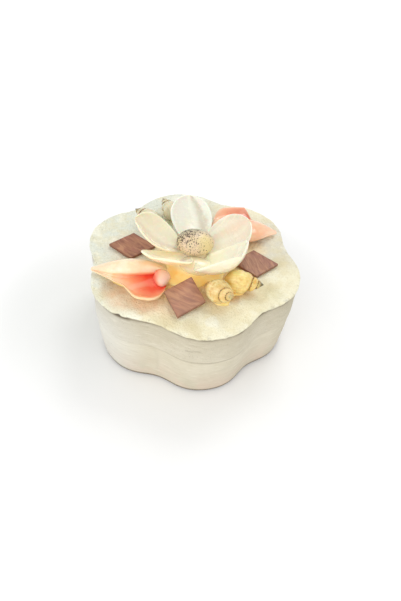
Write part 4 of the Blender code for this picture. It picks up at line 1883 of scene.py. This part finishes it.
@dataclass
class Snail:
    """Snail shell that lies on the lid with its spire at a bearing."""

    name: str
    x: float
    y: float
    bearing: float
    pitch: float
    size: float
    finish: HornFinish
    length: float = 0.0182
    radius: float = 0.0055
    body_share: float = 0.39
    bead_from: float = 0.50
    bead_to: float = 0.90
    bead_pitch: float = 0.00095
    bead_radius: float = 0.00034
    bead_stand: float = 0.00012
    seam_lag: float = 0.02
    rings: int = 110
    segments: int = 72

    def turns(self, along: np.ndarray) -> np.ndarray:
        """Turns of the seam from the foot to a place along the axis."""
        return 1.5 * np.log(1 / (1 - 0.985 * along))

    def ratio(self, along: np.ndarray, angle: np.ndarray) -> tuple[np.ndarray, np.ndarray]:
        """Radius as a ratio of the body, and how close the seam is.

        Args:
            along: From 0 at the foot to 1 at the tip.
            angle: Angle about the axis.

        Returns:
            The ratio, and 1 in the seam falling to 0 between seams.
        """
        body = np.sqrt(np.clip(1 - (1 - along / self.body_share) ** 2, 0, 1))
        spire = 1 - np.clip((along - self.body_share) / (1 - self.body_share), 0, 1) ** 1.7
        envelope = np.where(along < self.body_share, body, spire)
        turn = self.turns(along) + angle / (2 * pi)
        phase = turn - np.floor(turn)
        groove = 1 - np.clip(np.sin(pi * phase), 0, 1) ** 0.6
        shown = rise(along, 0.42, 0.56)
        return envelope * (1 - 0.30 * groove * shown), groove * shown

    def place(self) -> Matrix:
        """Turn of the shell from its own axis to the lid."""
        return (Matrix.Rotation(radians(self.bearing), 4, "Z")
                @ Matrix.Rotation(radians(-self.pitch), 4, "Y"))

    def local(self, along: np.ndarray, angle: np.ndarray, extra: float = 0.0) -> np.ndarray:
        """Points on the shell before it is laid down.

        Args:
            along: From 0 at the foot to 1 at the tip.
            angle: Angle about the axis.
            extra: How far the points stand off the shell, in metres.

        Returns:
            One point for each pair.
        """
        ratio, _ = self.ratio(along, angle)
        reach = self.radius * self.size * ratio + extra
        return np.stack([self.length * self.size * (along - self.body_share), reach * np.cos(angle),
                         reach * np.sin(angle)], -1)

    def build(self, strings: BeadString, bead_finish: Material) -> list[Piece]:
        """Make the shell and the beads in its seam.

        Args:
            strings: Tree that sets the beads.
            bead_finish: Material of the beads.

        Returns:
            The shell and its beads.
        """
        along = 0.5 - 0.5 * np.cos(pi * np.linspace(0.004, 0.996, self.rings))
        angle = np.linspace(0, 2 * pi, self.segments, endpoint=False)
        grid_along, grid_angle = np.meshgrid(along, angle, indexing="ij")
        body = self.local(grid_along, grid_angle).reshape(-1, 3)
        length = self.length * self.size
        ends = np.array([[-self.body_share * length, 0, 0], [(1 - self.body_share) * length, 0, 0]])
        turn = np.array(self.place().to_3x3())
        points = np.concatenate([body, ends]) @ turn.T
        seat = np.array([self.x, self.y, DECK - 0.0002 - points[:, 2].min()])
        points += seat
        count = self.rings * self.segments
        faces = ring_faces(self.rings, self.segments)
        last = count - self.segments
        for step in range(self.segments):
            after = (step + 1) % self.segments
            faces += [(count, after, step), (count + 1, last + step, last + after)]
        piece = new_piece(self.name + "_whorls", points, faces, self.finish.material())
        _, groove = self.ratio(grid_along, grid_angle)
        note(piece.data, "along", np.append(grid_along.reshape(-1), (0.0, 1.0)))
        note(piece.data, "groove", np.append(groove.reshape(-1), (0.0, 1.0)))
        note(piece.data, "turn", np.append(grid_angle.reshape(-1) / (2 * pi), (0.0, 0.0)))
        outward(piece.data)
        shell = settle(piece, "horn", self.name)
        line_along = np.linspace(self.bead_from, self.bead_to, 260)
        line_angle = -2 * pi * (self.turns(line_along) - self.seam_lag)
        line = self.local(line_along, line_angle, self.bead_stand) @ turn.T + seat
        line = line[line[:, 2] > DECK + 0.0006]
        made = strings.make(self.name + "_beads", line, self.bead_pitch * self.size, self.bead_radius, 7,
                            bead_finish)
        outward(made.data)
        return [shell, settle(made, "horn")]


GOLDEN = HornFinish("horn_golden", tone(252, 234, 174), tone(220, 176, 90), tone(146, 100, 44),
                    tone(206, 184, 122))
OLIVE = HornFinish("horn_olive", tone(251, 228, 150), tone(222, 180, 84), tone(128, 88, 36), tone(96, 92, 58))
GREY = HornFinish("horn_grey", tone(226, 220, 188), tone(196, 186, 146), tone(124, 106, 70),
                  tone(120, 112, 70))
SNAILS = (
    Snail("snail_front_near", 0.0051, -0.0316, 292, 27, 0.97, GOLDEN),
    Snail("snail_front_far", 0.0157, -0.0264, 343, -1, 0.98, OLIVE),
    Snail("snail_back_left", -0.0180, 0.0248, 137, 11, 0.85, GREY),
    Snail("snail_back_mid", -0.0063, 0.0300, 112, 13, 0.85, GREY),
)


# ---------- conches

@dataclass
class Conch:
    """Small conch that lies on the lid with its open side up."""

    name: str
    x: float
    y: float
    bearing: float
    pitch: float
    size: float
    lip_full: float
    breadth: float
    finish: CoralFinish
    red_reach: tuple[float, float, float]
    round_lip: bool = False
    back_full: float = 1.0
    roll: tuple[float, ...] = (1.1, 1.12, 0.98, 0.60, 0.15)
    spire_middle: tuple[float, float, float] = (0.0312, -0.0040, 0.0034)
    spire_size: tuple[float, float, float] = (0.0038, 0.0046, 0.0033)
    length: float = 0.0327
    half_width: float = 0.0050
    height: float = 0.0074
    canal_reach: float = 0.0085
    lip_reach: float = 0.0190
    lip_lift: float = 0.0020
    lip_wall: float = 0.0012
    end_round: float = 0.0011
    end_rings: int = 6
    curve_steps: int = 6
    rows: int = 96

    @staticmethod
    def swell(along: float) -> float:
        """Growth from the narrow canal end to the widest place and back in.

        Args:
            along: From 0 at the canal end to 1.

        Returns:
            Size of the outline there, 1 at the widest.
        """
        if along < 0.60:
            return 0.20 + 0.80 * sin(pi / 2 * along / 0.60)
        return sqrt(1 - (1 - 0.60 ** 2) * ((along - 0.60) / 0.40) ** 2.2)

    def flare(self, along: float) -> float:
        """How far the lip has flared: a quick rise, then a rounded far end.

        Args:
            along: From 0 at the canal end to 1.

        Returns:
            Share of the full reach.
        """
        if along <= 0.36:
            return 0.0
        if along < self.lip_full:
            share = (along - 0.36) / (self.lip_full - 0.36)
            return sin(pi / 2 * share) ** 1.4 if self.round_lip else share * share * (3 - 2 * share)
        share = max(0.0, (along - 0.80) / 0.20)
        return sqrt(1 - (1 - 0.30 ** 2) * share ** 2)

    def section(self, along: float) -> np.ndarray:
        """Corners of the outline across the axis.

        Args:
            along: From 0 at the canal end to 1.

        Returns:
            Sideways and up of each corner.
        """
        size, flare = self.swell(along), self.flare(along)
        side, top = self.half_width * size * self.breadth, self.height * size
        canal = self.canal_reach * min(1.0, 0.15 + along / 0.42) * (0.6 + 0.4 * self.breadth)
        reach = canal + (self.lip_reach / self.breadth ** 0.4 - self.canal_reach) * flare
        wall = self.lip_wall * (0.5 + 0.5 * flare)
        edge = 0.25 * top + self.lip_lift * flare
        bowl = 0.14 * top + wall
        roll = float(np.interp(along, (0, 0.25, 0.5, 0.75, 1), self.roll)) * side
        least = float(np.interp(along, (0.5, 0.95), (0.66, 0.25))) * side
        start = min(max(least, 0.97 * roll), reach - 0.0004)
        back = side * float(np.interp(along, (0, 0.35), (1, self.back_full)))
        return np.array([
            (0, 0), (-0.75 * back, 0.14 * top), (-back, 0.5 * top), (-0.72 * back, 0.85 * top), (0, top),
            (0.66 * roll, 0.92 * top), (0.98 * roll, 0.66 * top), (0.92 * roll, 0.40 * top),
            (start, bowl), (start + 0.35 * (reach - start), bowl + 0.05 * edge),
            (start + 0.72 * (reach - start), wall + 0.45 * edge), (reach, edge + wall),
            (reach + 0.3 * wall, edge + 0.5 * wall), (reach, edge),
            (start + 0.62 * (reach - start), 0.18 * edge), (0.5 * side, 0),
        ])

    def spire(self) -> tuple[np.ndarray, Faces, np.ndarray]:
        """Rounded spire end that stands in the mouth beside the roll.

        Returns:
            Its points in the shell's own frame, its faces, and how plainly each point shows its color.
        """
        rings, steps = 18, 32
        points, plain = [], []
        for ring in range(rings + 1):
            fall = pi * ring / rings
            for step in range(steps):
                angle = 2 * pi * step / steps
                whorl = 1 + 0.05 * sin(3 * fall + angle)
                wide = sin(fall)
                local = np.array([cos(fall), wide * cos(angle), wide * sin(angle)])
                points.append(self.spire_middle + local * self.spire_size * whorl)
                plain.append(local[0])
        return np.array(points), ring_faces(rings + 1, steps), rise(np.array(plain), -0.75, 0.30)

    def build(self) -> Piece:
        """Loft the outlines, round off both ends and lay the shell on the lid.

        Returns:
            The conch.
        """
        along = np.linspace(0, 1, self.rows)
        outlines = curve_through(np.array([self.section(value) for value in along]), self.curve_steps)
        count = outlines.shape[1]
        rings, spots = list(outlines), list(along * self.length)
        for share in np.arange(1, self.end_rings + 1) / self.end_rings:
            shrink = max(sqrt(max(0.0, 1 - share ** 2)), 0.02)
            first, final = (outline.mean(0) + (outline - outline.mean(0)) * shrink
                            for outline in (outlines[0], outlines[-1]))
            rings = [first, *rings, final]
            spots = [-self.end_round * share, *spots, self.length + self.end_round * share]
        trait_along = np.pad(along, self.end_rings, mode="edge")
        shell = np.concatenate([np.stack([np.full(count, spot), -ring[:, 0], ring[:, 1]], -1)
                                for ring, spot in zip(rings, spots)])
        spire, spire_faces, plain = self.spire()
        points = np.concatenate([shell, spire]) * self.size
        turn = np.array((Matrix.Rotation(radians(self.bearing), 3, "Z")
                         @ Matrix.Rotation(radians(self.pitch), 3, "Y")))
        points = points @ turn.T
        points[:, 2] += 0.00010 * grain(points, 0.005, 9.0, 2)
        points += np.array([self.x, self.y, DECK - 0.0001 - points[:, 2].min()])
        faces = ring_faces(len(rings), count)
        faces.append(tuple(range(count)))
        faces.append(tuple(range((len(rings) - 1) * count, len(rings) * count)))
        faces += [tuple(len(shell) + corner for corner in face) for face in spire_faces]
        piece = new_piece(self.name + "_shell", points, faces, self.finish.material())
        # The traits count corners in the order in which section() names them; 11 is the lip's edge.
        corner = np.tile(np.arange(count) / self.curve_steps, len(rings))
        reds = (0, 0, 1.0, 1.0, *self.red_reach, 0)
        inside = np.interp(corner, (0, 6.0, 7.0, 8, 9.5, 10.6, 11.2, 16), reds)
        inside = np.where(corner > 11.4, 0.0, inside)
        shown = np.repeat(np.interp(trait_along, (0.25, 0.42, 0.60, 0.85, 1.0), self.finish.show), count)
        lip = 0.95 * np.exp(-((corner - 11.9) / 1.1) ** 2)
        blank = np.zeros(len(spire))
        note(piece.data, "inside", np.append(inside * shown, 0.75 * (1 - plain)))
        note(piece.data, "lip", np.append(lip, blank))
        note(piece.data, "along", np.append(np.repeat(trait_along, count), blank + 0.9))
        note(piece.data, "knob", np.append(np.zeros(len(shell)), plain))
        outward(piece.data)
        return settle(piece, "coral", self.name)


SALMON = CoralFinish("coral_left", tone(252, 234, 200), tone(251, 222, 182), tone(253, 162, 116),
                     tone(247, 84, 58), tone(255, 216, 164), tone(255, 210, 188))
PEACH = CoralFinish("coral_right", tone(250, 200, 158), tone(248, 188, 146), tone(238, 154, 114),
                    tone(218, 108, 72), tone(252, 206, 176), tone(250, 204, 166), (0.3, 1.0, 0.85, 0.5, 0.4))
CONCHES = (
    Conch("conch_left", -0.0476, -0.0070, 347, 2.5, 1.0, 0.70, 1.0, SALMON, (0.84, 0.58, 0.20)),
    Conch("conch_right", 0.0442, 0.0102, 172.5, 2.5, 0.92, 0.48, 1.5, PEACH, (0.85, 0.7, 0.5), True, 1.42),
)


# ---------- studio

@dataclass(frozen=True)
class Lamp:
    """Soft square light that faces the box: its place and side in metres, its power in watts."""

    name: str
    spot: tuple[float, float, float]
    size: float
    power: float
    color: Color = (1.0, 0.995, 0.98)


@dataclass
class Studio:
    """Pale floor, soft light and the camera at the photograph's angle."""

    eye: tuple[float, float, float] = (-0.0413, -0.1729, 0.1946)
    aim: tuple[float, float, float] = (0.00862, 0.01014, 0.0)
    roll: float = 5.835
    lens: float = 28.806
    world: float = 0.80
    floor_half: float = 9.0
    lamps: tuple[Lamp, ...] = (
        Lamp("key", (0.20, 0.28, 0.55), 0.26, 0.85), Lamp("front", (-0.35, -0.40, 0.40), 0.50, 1.25))
    lit: tuple[float, float, float] = (0, 0, 0.03)

    def set_camera(self) -> None:
        """Put the camera where the photograph was taken from."""
        data = bpy.data.cameras.new("camera")
        data.lens = self.lens
        data.sensor_width = 36.0
        data.clip_start = 0.005
        camera = bpy.data.objects.new("camera", data)
        bpy.context.scene.collection.objects.link(camera)
        eye, aim = Vector(self.eye), Vector(self.aim)
        ahead = (aim - eye).normalized()
        right = ahead.cross(Vector((0, 0, 1))).normalized()
        up = right.cross(ahead)
        angle = radians(self.roll)
        across = cos(angle) * right + sin(angle) * up
        above = -sin(angle) * right + cos(angle) * up
        camera.matrix_world = Matrix((
            (across.x, above.x, -ahead.x, eye.x), (across.y, above.y, -ahead.y, eye.y),
            (across.z, above.z, -ahead.z, eye.z), (0, 0, 0, 1)))
        bpy.context.scene.camera = camera

    def add_light(self, lamp: Lamp) -> None:
        """Add one light.

        Args:
            lamp: The light.
        """
        data = bpy.data.lights.new(lamp.name, "AREA")
        data.size, data.energy, data.color = lamp.size, lamp.power, lamp.color
        light = bpy.data.objects.new(lamp.name, data)
        light.location = lamp.spot
        light.rotation_euler = (Vector(self.lit) - light.location).to_track_quat("-Z", "Y").to_euler()
        bpy.context.scene.collection.objects.link(light)

    def build(self) -> None:
        """Set the floor, the lights, the surroundings and the camera."""
        self.set_camera()
        corners = ((-1, -1, 0), (1, -1, 0), (1, 1, 0), (-1, 1, 0))
        points = self.floor_half * np.array(corners, float)
        floor = new_piece("floor", points, [(0, 1, 2, 3)], FloorFinish().material())
        for lamp in self.lamps:
            self.add_light(lamp)
        scene = bpy.context.scene
        scene.world = bpy.data.worlds.new("studio")
        scene.world.use_nodes = True
        sky = scene.world.node_tree.nodes["Background"]
        sky.inputs["Color"].default_value = (1.0, 1.0, 1.0, 1.0)
        sky.inputs["Strength"].default_value = self.world
        scene.view_settings.view_transform = "Standard"


def main() -> None:
    """Build every piece of the box in order."""
    logging.basicConfig(level=logging.INFO, format="%(name)s: %(message)s")
    Studio().build()
    turning, strings = LobedTurning(), BeadString()
    wall = PlasterFinish("plaster_wall", Coat.WALL).material()
    top = PlasterFinish("plaster_lid", Coat.TOP).material()
    BoxBase().build(turning, wall)
    Lid().build(turning, top)
    glue = GlueFinish().material()
    GlueBed().build(glue)
    GlueSpots().build(glue)
    RootFill().build(GlueFinish("root_filler", tone(254, 243, 204), tone(252, 236, 190), glow=0.0).material())
    for petal in PETALS:
        petal.build()
    CenterShell().build(SpeckledFinish().material())
    for tile in TILES:
        tile.build()
    beads = BeadFinish().material()
    for snail in SNAILS:
        snail.build(strings, beads)
    for conch in CONCHES:
        conch.build()


if __name__ == "__main__":
    main()
